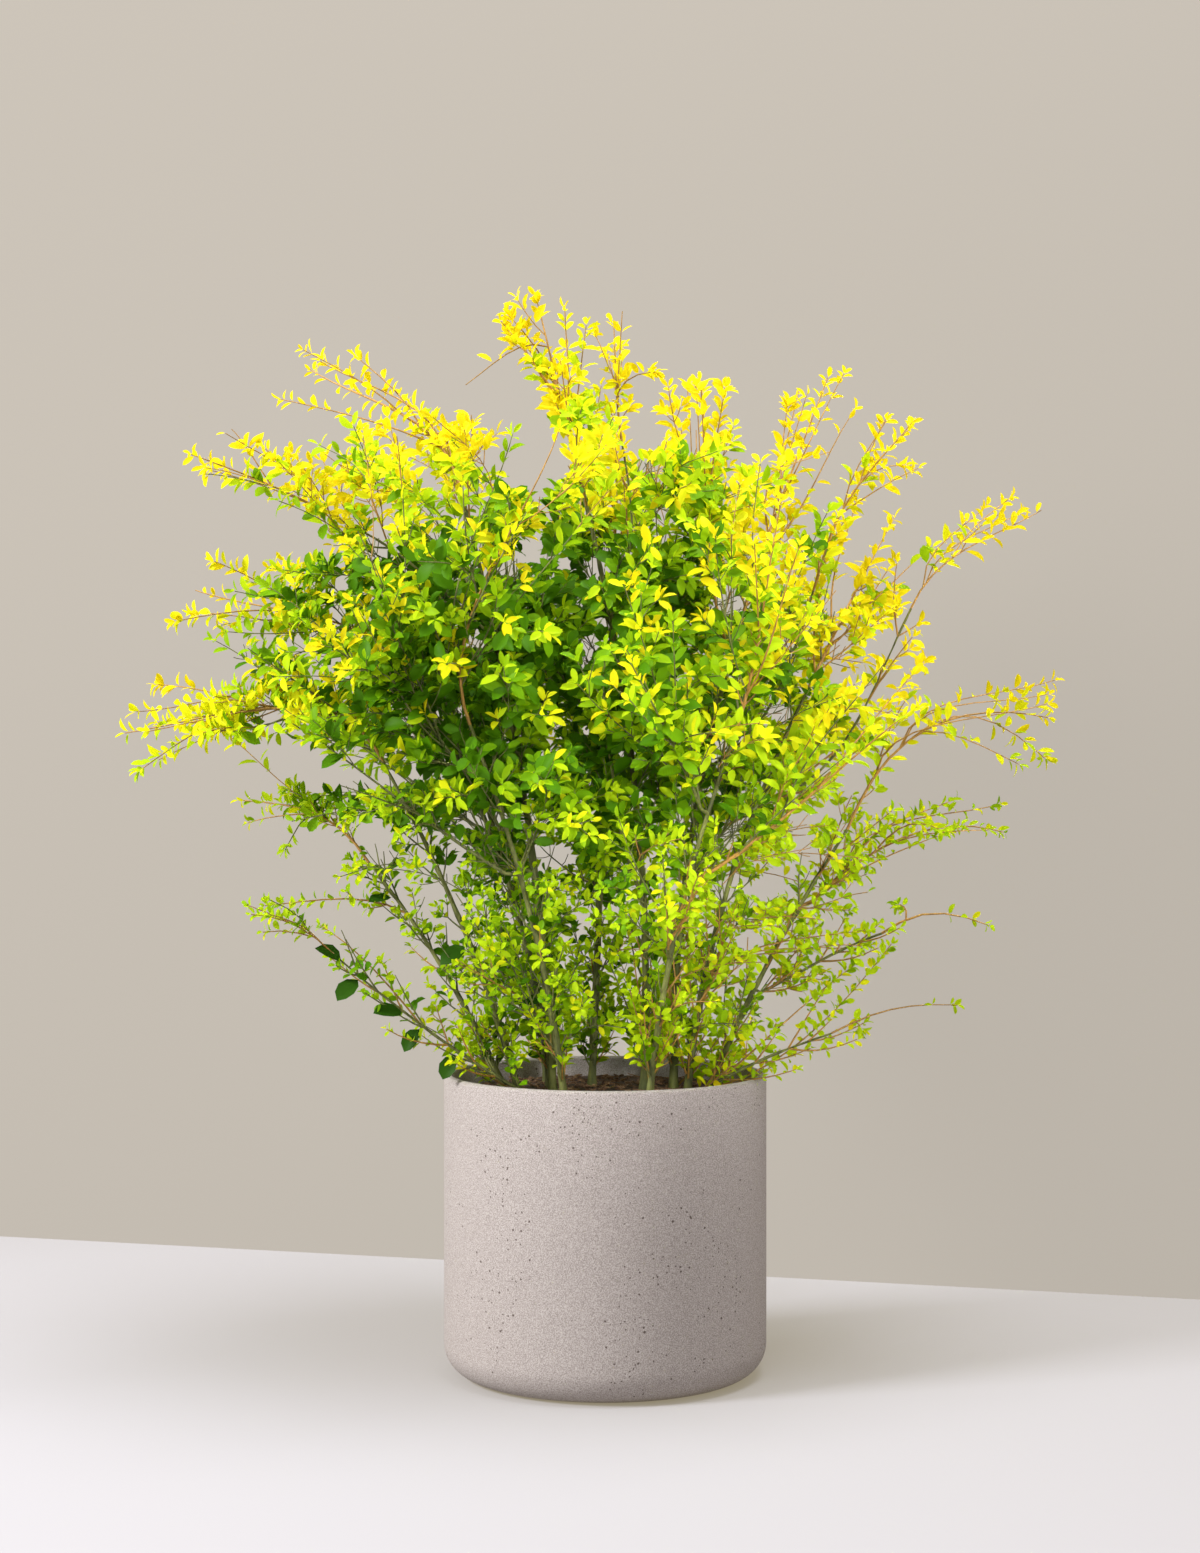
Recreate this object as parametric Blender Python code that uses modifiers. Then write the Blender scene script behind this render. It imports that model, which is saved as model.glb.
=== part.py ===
"""A potted Chinese privet: a many-stemmed shrub in a round concrete planter.

Metres, +Z up. The origin is the middle of the planter's flat underside.
The planter is a turned shell filled with potting soil. The stems stand on the soil,
boughs fork off some of them, and every stem and bough ends in a mass of foliage.
A mass is one solid: a curved stem, shoots on its three sides, and leaves sunk into them.
"""

import math
import random
from collections import namedtuple

import bmesh
import bpy
import numpy as np
from mathutils import Matrix, Vector
from mathutils.bvhtree import BVHTree

CLEARANCE = 0.0003

POT_RADIUS = 0.190
POT_HEIGHT = 0.353
POT_WALL = 0.011
POT_FLOOR = 0.016
POT_FOOT_ROUND = 0.038
POT_RIM_ROUND = 0.0045
POT_STEPS = 48
SOIL_TOP = POT_HEIGHT - 0.024

LIMB_SIDES = 6
LIMB_POINTS = 8
LIMB_TAPER = 0.42
BOUGH_SHARE = 0.85
BOUGH_TAPER = 0.6
BOUGH_KNUCKLE = 0.005
LIMB_ROOM = 0.0012
WELL_OUTSIDE = 0.03

TWIG_SIDES = 3
AXIS_POINTS = 5
AXIS_GIRTH = 0.0030
AXIS_END_GIRTH = 0.0017
MASS_KNUCKLE = 0.006
MASS_BOW = (0, 0, 0.004)
SHOOT_GIRTH = 0.0019
SHOOT_END_SHARE = 0.75
SHOOT_FIT = 0.62
SHOOT_OPENING = math.radians(55)
SHOOT_SINK = 0.0012
SHOOT_SWAY = 0.18
THIRD_TURN = math.radians(120)
LEAF_SHARE = 0.80
LEAF_LONGEST = 0.104
LEAF_WIDTH_SHARE = 0.50
LEAF_THICK_SHARE = 1 / 32
LEAF_WIDEST_AT = 0.48
LEAF_OPENING = math.radians(52)
LEAF_SINK = 0.0011
LEAF_SWAY = 0.25
FACE_SWAY = 0.35
LEAF_ROOM = 0.0008
SPACE_MARGIN = 0.03
FLAT_ANGLE = math.radians(0.4)
LEAF_CUTS = (1.0, 0.75, 0.55)
SHOOT_CUTS = (1.0, 1.0, 0.8, 0.8, 0.6, 0.6, 0.45, 0.45)
TRIES = 5

# A stem: where its foot stands on the soil, where its tip ends, how far its middle
# bows out of the straight line between them, and its radius at the foot.
Stem = namedtuple("Stem", "foot tip bow girth")
STEMS = {
    "stem_left_low": Stem((-0.078, -0.070), (-0.310, -0.105, 0.500), (0, 0, -0.010), 0.0034),
    "stem_left_outer": Stem((-0.118, 0.012), (-0.282, 0.030, 0.600), (0.010, 0, 0.005), 0.0046),
    "stem_left_mid": Stem((-0.100, -0.034), (-0.256, -0.030, 0.712), (0.014, 0, 0), 0.0052),
    "stem_left_inner": Stem((-0.066, 0.040), (-0.222, 0.045, 0.810), (0.030, 0, 0), 0.0052),
    "stem_left_main": Stem((-0.062, -0.004), (-0.172, 0.000, 1.045), (0.020, 0, 0), 0.0062),
    "stem_centre_back": Stem((-0.016, 0.062), (0.010, 0.150, 0.940), (0, -0.020, 0), 0.0056),
    "stem_centre": Stem((0.046, 0.008), (-0.034, 0.000, 1.070), (0.028, 0, 0), 0.0062),
    "stem_right_inner": Stem((0.082, 0.026), (0.160, 0.030, 0.880), (-0.022, 0, 0), 0.0058),
    "stem_right_mid": Stem((0.096, -0.022), (0.235, -0.030, 0.800), (-0.024, 0, 0), 0.0054),
    "stem_right_outer": Stem((0.122, 0.010), (0.285, -0.010, 0.640), (-0.010, 0, 0), 0.0048),
    "stem_right_low": Stem((0.092, -0.070), (0.262, -0.060, 0.405), (0, 0, 0.006), 0.0034),
    "stem_front_left": Stem((-0.046, -0.100), (-0.150, -0.195, 0.760), (0.014, 0.010, 0), 0.0052),
    "stem_front_right": Stem((0.050, -0.104), (0.140, -0.200, 0.740), (-0.014, 0.010, 0), 0.0052),
    "stem_back_left": Stem((-0.070, 0.092), (-0.180, 0.190, 0.760), (0.014, -0.012, 0), 0.0052),
    "stem_back_right": Stem((0.052, 0.098), (0.190, 0.190, 0.770), (-0.014, -0.012, 0), 0.0052),
}

# A bough: the stem that it forks off, how far up that stem, and the rest as for a stem.
Bough = namedtuple("Bough", "off at tip bow girth")
BOUGHS = {
    "bough_left_high": Bough("stem_left_main", 0.76, (-0.300, 0.020, 1.000), (0, 0, 0.012), 0.0034),
    "bough_top": Bough("stem_centre", 0.80, (0.020, 0.030, 1.100), (0.010, 0, 0), 0.0034),
    "bough_upper_right": Bough("stem_right_inner", 0.70, (0.265, 0.010, 0.980), (0.010, 0, 0), 0.0036),
    "bough_right_arm": Bough("stem_right_mid", 0.72, (0.360, -0.012, 0.900), (0.010, 0, -0.008), 0.0034),
    "bough_right_low": Bough("stem_right_outer", 0.38, (0.322, -0.045, 0.520), (0, 0, 0.006), 0.0028),
}

# A mass: the limb that carries it, how far up that limb (1 is its tip), the furthest
# point that it reaches, and how far it spreads about the line between the two.
Foliage = namedtuple("Foliage", "off at reach spread")
MASSES = {
    "mass_top_left": Foliage("stem_centre", 1, (-0.082, 0.000, 1.270), 0.125),
    "mass_top_centre": Foliage("bough_top", 1, (0.010, 0.050, 1.250), 0.115),
    "mass_top_inner_right": Foliage("stem_right_inner", 0.95, (0.110, -0.070, 1.160), 0.125),
    "mass_top_right": Foliage("stem_right_inner", 1, (0.269, 0.070, 1.184), 0.130),
    "mass_upper_right": Foliage("bough_upper_right", 1, (0.355, -0.060, 1.112), 0.120),
    "mass_upper_left": Foliage("stem_left_main", 1, (-0.356, 0.080, 1.195), 0.120),
    "mass_left_high": Foliage("bough_left_high", 1, (-0.476, -0.080, 1.073), 0.120),
    "mass_top_back": Foliage("stem_centre_back", 1, (0.020, 0.230, 1.150), 0.150),
    "mass_top_front": Foliage("stem_front_left", 1, (-0.050, -0.250, 1.080), 0.150),
    "mass_left_upper": Foliage("stem_left_inner", 1, (-0.498, 0.090, 0.929), 0.125),
    "mass_right_high": Foliage("stem_right_mid", 1, (0.355, 0.120, 1.020), 0.120),
    "mass_right_arm": Foliage("bough_right_arm", 1, (0.522, 0.040, 1.021), 0.085),
    "mass_front_left_high": Foliage("stem_front_left", 0.85, (-0.270, -0.240, 0.970), 0.140),
    "mass_front_right_high": Foliage("stem_front_right", 1, (0.190, -0.260, 1.000), 0.150),
    "mass_back_left_high": Foliage("stem_back_left", 1, (-0.250, 0.240, 1.010), 0.150),
    "mass_back_right_high": Foliage("stem_back_right", 1, (0.250, 0.250, 1.000), 0.150),
    "mass_core_left_high": Foliage("stem_left_main", 0.58, (-0.120, -0.090, 1.000), 0.130),
    "mass_core_right_high": Foliage("stem_centre", 0.62, (0.090, -0.060, 1.010), 0.130),
    "mass_left": Foliage("stem_left_mid", 1, (-0.558, -0.050, 0.753), 0.130),
    "mass_right": Foliage("stem_right_outer", 1, (0.516, -0.040, 0.771), 0.125),
    "mass_front": Foliage("stem_front_right", 0.80, (0.020, -0.390, 0.830), 0.150),
    "mass_back": Foliage("stem_centre_back", 0.60, (0.000, 0.390, 0.830), 0.160),
    "mass_front_left": Foliage("stem_front_left", 0.60, (-0.340, -0.250, 0.760), 0.140),
    "mass_front_right": Foliage("stem_front_right", 0.62, (0.340, -0.250, 0.780), 0.140),
    "mass_back_left": Foliage("stem_back_left", 0.70, (-0.370, 0.240, 0.790), 0.145),
    "mass_back_right": Foliage("stem_back_right", 0.70, (0.370, 0.230, 0.790), 0.145),
    "mass_core_left": Foliage("stem_left_main", 0.36, (-0.190, -0.080, 0.830), 0.130),
    "mass_core_centre": Foliage("stem_centre", 0.32, (-0.010, -0.090, 0.830), 0.130),
    "mass_core_right": Foliage("stem_right_inner", 0.42, (0.160, -0.090, 0.850), 0.125),
    "mass_left_skirt": Foliage("stem_left_outer", 1, (-0.444, 0.080, 0.674), 0.100),
    "mass_right_skirt": Foliage("stem_right_outer", 0.70, (0.482, 0.080, 0.635), 0.090),
    "mass_front_skirt": Foliage("stem_front_right", 0.40, (0.060, -0.330, 0.620), 0.120),
    "mass_back_skirt": Foliage("stem_centre_back", 0.34, (-0.030, 0.330, 0.620), 0.130),
    "mass_left_low": Foliage("stem_left_low", 1, (-0.405, -0.130, 0.557), 0.070),
    "mass_right_low": Foliage("bough_right_low", 1, (0.442, -0.080, 0.531), 0.065),
    "mass_right_bottom": Foliage("stem_right_low", 1, (0.413, -0.020, 0.434), 0.055),
    "mass_low_left": Foliage("stem_front_left", 0.20, (-0.170, -0.120, 0.570), 0.100),
    "mass_low_right": Foliage("stem_right_mid", 0.22, (0.150, -0.120, 0.560), 0.100),
}

# The shoots along a mass's stem: how far up they spring, and how long they are against
# the mass's spread. Each looks to the next of the stem's three sides.
SHOOT_PLACES = ((0.10, 0.46), (0.26, 0.56), (0.43, 0.60), (0.59, 0.58), (0.76, 0.48))

CONCRETE = (0.42, 0.36, 0.34)
SOIL_BROWN = (0.075, 0.045, 0.028)
BARK = (0.16, 0.12, 0.06)
YOUNG_BARK = (0.22, 0.18, 0.05)
LEAF_GOLD = (0.82, 0.70, 0.05)
LEAF_LIME = (0.32, 0.42, 0.03)
LIME_BELOW = 0.50
GOLD_ABOVE = 1.10


def clear_scene():
    """Removes what a new file starts with."""
    for thing in list(bpy.data.objects):
        bpy.data.objects.remove(thing, do_unlink=True)


def new_collection(name):
    """A collection in the scene."""
    made = bpy.data.collections.new(name)
    bpy.context.scene.collection.children.link(made)
    return made


def new_material(name, colour, roughness):
    """A plain painted surface."""
    made = bpy.data.materials.new(name)
    made.use_nodes = True
    shader = made.node_tree.nodes["Principled BSDF"]
    shader.inputs["Base Color"].default_value = (*colour, 1)
    shader.inputs["Roughness"].default_value = roughness
    made.diffuse_color = (*colour, 1)
    return made


def add_object(name, mesh, collection, material=None):
    """An object for a mesh, in a collection."""
    made = bpy.data.objects.new(name, mesh)
    collection.objects.link(made)
    if material:
        mesh.materials.append(material)
    return made


def quarter(centre, radius, start, end, steps):
    """Points (radius, height) along an arc from angle start to angle end, in degrees."""
    turns = [math.radians(start + (end - start) * i / steps) for i in range(steps + 1)]
    return [(centre[0] + radius * math.cos(a), centre[1] + radius * math.sin(a)) for a in turns]


def turned(name, profile, collection, material):
    """A profile of (radius, height) points turned once about the Z axis."""
    mesh = bpy.data.meshes.new(name)
    edges = [(i, i + 1) for i in range(len(profile) - 1)]
    mesh.from_pydata([(r, 0, z) for r, z in profile], edges, [])
    made = add_object(name, mesh, collection, material)
    screw = made.modifiers.new("turn", "SCREW")
    screw.steps = POT_STEPS
    screw.render_steps = POT_STEPS
    screw.use_merge_vertices = True
    screw.merge_threshold = 0.00005
    screw.use_smooth_shade = True
    return made


def build_pot(collection):
    """The planter: straight wall, rounded foot, thin rounded rim."""
    inner = POT_RADIUS - POT_WALL
    inner_round = POT_FOOT_ROUND - POT_WALL
    rim_middle = POT_RADIUS - POT_WALL / 2
    rim_flat = POT_WALL / 2 - POT_RIM_ROUND * 0.75
    rim = POT_HEIGHT - POT_RIM_ROUND
    profile = [(0, POT_FLOOR)]
    profile += quarter((inner - inner_round, POT_FLOOR + inner_round), inner_round, -90, 0, 3)
    profile += [(inner, rim)]
    profile += [(rim_middle - rim_flat, POT_HEIGHT), (rim_middle + rim_flat, POT_HEIGHT)]
    profile += [(POT_RADIUS, rim)]
    profile += quarter((POT_RADIUS - POT_FOOT_ROUND, POT_FOOT_ROUND), POT_FOOT_ROUND, 0, -90, 5)
    profile += [(0, 0)]
    return turned("pot", profile, collection, new_material("concrete", CONCRETE, 0.85))


def build_soil(collection):
    """The potting soil that fills the planter, flat on top."""
    radius = POT_RADIUS - POT_WALL - CLEARANCE
    foot_round = POT_FOOT_ROUND - POT_WALL
    floor = POT_FLOOR + CLEARANCE
    profile = [(0, SOIL_TOP), (radius, SOIL_TOP)]
    profile += quarter((radius - foot_round, floor + foot_round), foot_round, 0, -90, 3)
    profile += [(0, floor)]
    return turned("soil", profile, collection, new_material("soil", SOIL_BROWN, 0.95))


def bowed(start, leave, tip, bow, count):
    """Points on a cubic curve from start to tip. It leaves start along leave, where that
    is given, and its middle bows out of the straight line by bow."""
    start, tip, bow = Vector(start), Vector(tip), Vector(bow)
    first = start.lerp(tip, 1 / 3) + bow * 4 / 3
    second = start.lerp(tip, 2 / 3) + bow * 4 / 3
    if leave is not None:
        first = start + Vector(leave).normalized() * (tip - start).length / 3 + bow * 4 / 3
    points = []
    for i in range(count):
        t = i / (count - 1)
        s = 1 - t
        points.append(start * s**3 + first * 3 * s * s * t + second * 3 * s * t * t + tip * t**3)
    return points


def taper(first, last, count):
    """Radii that fall evenly from first to last."""
    return [first + (last - first) * i / (count - 1) for i in range(count)]


def ring_curve(sides):
    """A small closed outline of so many sides, one unit in radius, that a tube takes."""
    data = bpy.data.curves.new("section", "CURVE")
    data.dimensions = "2D"
    spline = data.splines.new("POLY")
    spline.points.add(sides - 1)
    for i, point in enumerate(spline.points):
        turn = 2 * math.pi * i / sides
        point.co = (math.cos(turn), math.sin(turn), 0, 1)
    spline.use_cyclic_u = True
    return bpy.data.objects.new("section", data)


def tube(points, radii, sides):
    """A closed tapering tube through the points, as a bmesh."""
    section = ring_curve(sides)
    data = bpy.data.curves.new("path", "CURVE")
    data.dimensions = "3D"
    data.bevel_mode = "OBJECT"
    data.bevel_object = section
    data.use_fill_caps = True
    spline = data.splines.new("POLY")
    spline.points.add(len(points) - 1)
    for point, place, radius in zip(spline.points, points, radii):
        point.co = (*place, 1)
        point.radius = radius
    path = bpy.data.objects.new("path", data)
    bpy.context.scene.collection.objects.link(section)
    bpy.context.scene.collection.objects.link(path)
    graph = bpy.context.evaluated_depsgraph_get()
    mesh = bpy.data.meshes.new_from_object(path.evaluated_get(graph))
    shape = bmesh.new()
    shape.from_mesh(mesh)
    bmesh.ops.remove_doubles(shape, verts=shape.verts, dist=0.00001)
    bmesh.ops.triangulate(shape, faces=shape.faces)
    bmesh.ops.recalc_face_normals(shape, faces=shape.faces)
    for thing in (path, section):
        curve = thing.data
        bpy.data.objects.remove(thing)
        bpy.data.curves.remove(curve)
    bpy.data.meshes.remove(mesh)
    return shape


def cut_flat(shape, height):
    """Cuts a tube off level at a height and closes the cut."""
    everything = shape.verts[:] + shape.edges[:] + shape.faces[:]
    cut = bmesh.ops.bisect_plane(
        shape, geom=everything, plane_co=(0, 0, height), plane_no=(0, 0, 1), clear_inner=True
    )
    rim = [part for part in cut["geom_cut"] if isinstance(part, bmesh.types.BMEdge)]
    bmesh.ops.holes_fill(shape, edges=rim)
    bmesh.ops.triangulate(shape, faces=shape.faces)
    bmesh.ops.recalc_face_normals(shape, faces=shape.faces)


def mesh_of(shape, name):
    """A mesh made of a bmesh, which is freed."""
    mesh = bpy.data.meshes.new(name)
    shape.to_mesh(mesh)
    shape.free()
    return mesh


def place_along(points, share):
    """Which stretch of a path holds a share of its length, and how far into it."""
    lengths = [(b - a).length for a, b in zip(points, points[1:])]
    left = share * sum(lengths)
    for i, length in enumerate(lengths):
        if left <= length or i == len(lengths) - 1:
            return i, min(1, left / length)
        left -= length


def point_along(points, share):
    """The point, and the direction, a share of the way along a path."""
    i, part = place_along(points, share)
    return points[i].lerp(points[i + 1], part), (points[i + 1] - points[i]).normalized()


class Branch:
    """The path, radii and surface of a stem, bough or shoot, which others are set on."""

    def __init__(self, points, radii, shape):
        self.points = points
        self.radii = radii
        self.surface = BVHTree.FromBMesh(shape)

    def side(self, share, towards):
        """The middle of the side that looks most towards a direction, and its normal."""
        middle, along = point_along(self.points, share)
        outward = (towards - along * towards.dot(along)).normalized()
        for _ in range(2):
            hit, normal, _, _ = self.surface.ray_cast(middle + outward * WELL_OUTSIDE, -outward)
            outward = (normal - along * normal.dot(along)).normalized()
        return hit, normal

    def seat(self, share, goal):
        """Where a branch that heads for a point starts, and square to what: it stands a
        clearance off the tip's flat end, or off the side that looks towards the point."""
        if share >= 1:
            place, normal = point_along(self.points, 1)
        else:
            middle, _ = point_along(self.points, share)
            place, normal = self.side(share, Vector(goal) - middle)
        return place + normal * CLEARANCE, normal

    def girth(self, share):
        """The limb's radius a share of the way along."""
        i, part = place_along(self.points, share)
        return self.radii[i] + (self.radii[i + 1] - self.radii[i]) * part


def build_stem(name, stem, collection):
    """A tapering stem, cut off level where it meets the soil."""
    foot = Vector((*stem.foot, SOIL_TOP + CLEARANCE))
    points = bowed(foot, None, stem.tip, stem.bow, LIMB_POINTS)
    radii = taper(stem.girth, stem.girth * LIMB_TAPER, LIMB_POINTS)
    below = points[0] + (points[0] - points[1]).normalized() * WELL_OUTSIDE
    shape = tube([below] + points[1:], radii, LIMB_SIDES)
    cut_flat(shape, foot.z)
    limb = Branch(points, radii, shape)
    add_object(name, mesh_of(shape, name), collection, new_material("bark of " + name, BARK, 0.8))
    return limb


def build_bough(name, bough, limbs, collection):
    """A tapering bough, seated square against the side of its stem."""
    stem = limbs[bough.off]
    place, way = stem.seat(bough.at, bough.tip)
    knuckle = place + way * BOUGH_KNUCKLE
    leave = way + point_along(stem.points, bough.at)[1]
    points = [place] + bowed(knuckle, leave, bough.tip, bough.bow, LIMB_POINTS - 2)
    girth = min(bough.girth, stem.girth(bough.at) * BOUGH_SHARE)
    radii = [girth] + taper(girth, girth * BOUGH_TAPER, LIMB_POINTS - 2)
    shape = tube(points, radii, LIMB_SIDES)
    limb = Branch(points, radii, shape)
    add_object(name, mesh_of(shape, name), collection, new_material("bark of " + name, YOUNG_BARK, 0.7))
    return limb


def outer_surface(limbs, room):
    """One search tree of all the limbs, each thicker by some room."""
    joined = bmesh.new()
    for limb in limbs.values():
        shape = tube(limb.points, [r + room for r in limb.radii], LIMB_SIDES)
        mesh = mesh_of(shape, "thicker")
        joined.from_mesh(mesh)
        bpy.data.meshes.remove(mesh)
    tree = BVHTree.FromBMesh(joined)
    joined.free()
    return tree


def leaf_shape(length, room=0.0):
    """A closed blade of six faces along +Z: flat above, to +Y, with a keel beneath, and
    widest a little below its middle."""
    shape = bmesh.new()
    bmesh.ops.create_uvsphere(shape, u_segments=3, v_segments=2, radius=1)
    wide = length * LEAF_WIDTH_SHARE / 2 + room
    thick = length * LEAF_THICK_SHARE + room
    for vert in shape.verts:
        x, y, z = vert.co
        if abs(z) > 0.5:
            vert.co = (0, 0, length + room if z > 0 else -room)
        else:
            vert.co = (round(y) * wide, -thick if x > 0 else room, length * LEAF_WIDEST_AT)
    bmesh.ops.triangulate(shape, faces=shape.faces)
    bmesh.ops.recalc_face_normals(shape, faces=shape.faces)
    return shape


def upright(way):
    """The direction square to another that looks up the most."""
    level = way.cross(Vector((0, 0, 1)))
    if level.length < 0.2:
        level = way.cross(Vector((1, 0, 0)))
    return level.normalized().cross(way)


def frame_at(place, along, face):
    """A matrix that puts +Z along a direction and +Y as near another as it can."""
    z = along.normalized()
    y = (face - z * face.dot(z)).normalized()
    x = y.cross(z)
    turn = Matrix((x, y, z)).transposed().to_4x4()
    return Matrix.Translation(place) @ turn


def shoot_shape(length, girth, room=0.0):
    """A straight three-sided shoot along +Z, with one edge to +Y."""
    shape = bmesh.new()
    bmesh.ops.create_cone(
        shape,
        segments=TWIG_SIDES,
        radius1=girth + room,
        radius2=girth * SHOOT_END_SHARE + room,
        depth=length,
        cap_ends=True,
    )
    bmesh.ops.translate(shape, verts=shape.verts, vec=(0, 0, length / 2))
    bmesh.ops.triangulate(shape, faces=shape.faces)
    return shape


class Spaces:
    """The room that each mass keeps to: nearer to its own line, against its spread, than
    to any other mass's, and no further from it than its spread."""

    def __init__(self, lines, spreads):
        self.names = list(lines)
        self.first = {}
        starts, ends, owners = [], [], []
        for i, name in enumerate(self.names):
            self.first[name] = i
            for a, b in zip(lines[name], lines[name][1:]):
                starts.append(a)
                ends.append(b)
                owners.append(i)
        self.starts = np.array(starts)
        self.steps = np.array(ends) - self.starts
        self.owners = np.array(owners)
        self.spreads = np.array([spreads[name] for name in self.names])
        self.squares = (self.steps**2).sum(1)

    def shares(self, point):
        """How far a point is from each mass's line, against that mass's spread."""
        offset = np.array(point) - self.starts
        along = np.clip((offset * self.steps).sum(1) / self.squares, 0, 1)
        gaps = np.linalg.norm(offset - self.steps * along[:, None], axis=1)
        nearest = np.full(len(self.names), np.inf)
        np.minimum.at(nearest, self.owners, gaps)
        return nearest / self.spreads

    def holds(self, name, points):
        """Whether all of the points lie inside the mass's own room."""
        own = self.first[name]
        for point in points:
            shares = self.shares(point)
            mine = shares[own]
            shares[own] = np.inf
            if mine > 1 or mine > shares.min() - SPACE_MARGIN:
                return False
        return True


class Placed:
    """What stands already, kept as search trees with their boxes."""

    def __init__(self):
        self.trees = []
        self.lows = []
        self.highs = []

    def add(self, points, faces):
        """Keeps a piece."""
        self.trees.append(BVHTree.FromPolygons(points, faces))
        self.lows.append(np.array(points).min(0))
        self.highs.append(np.array(points).max(0))

    def touches(self, tree, points, apart=None):
        """Whether a piece touches any that is kept, but for the one numbered apart."""
        if not self.trees:
            return False
        low, high = np.array(points).min(0), np.array(points).max(0)
        near = (np.array(self.lows) < high).all(1) & (np.array(self.highs) > low).all(1)
        return any(i != apart and self.trees[i].overlap(tree) for i in np.flatnonzero(near))


def as_polygons(shape, matrix):
    """A bmesh's points, moved by a matrix, and its faces."""
    shape.verts.index_update()
    points = [matrix @ vert.co for vert in shape.verts]
    faces = [[vert.index for vert in face.verts] for face in shape.faces]
    return points, faces


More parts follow.
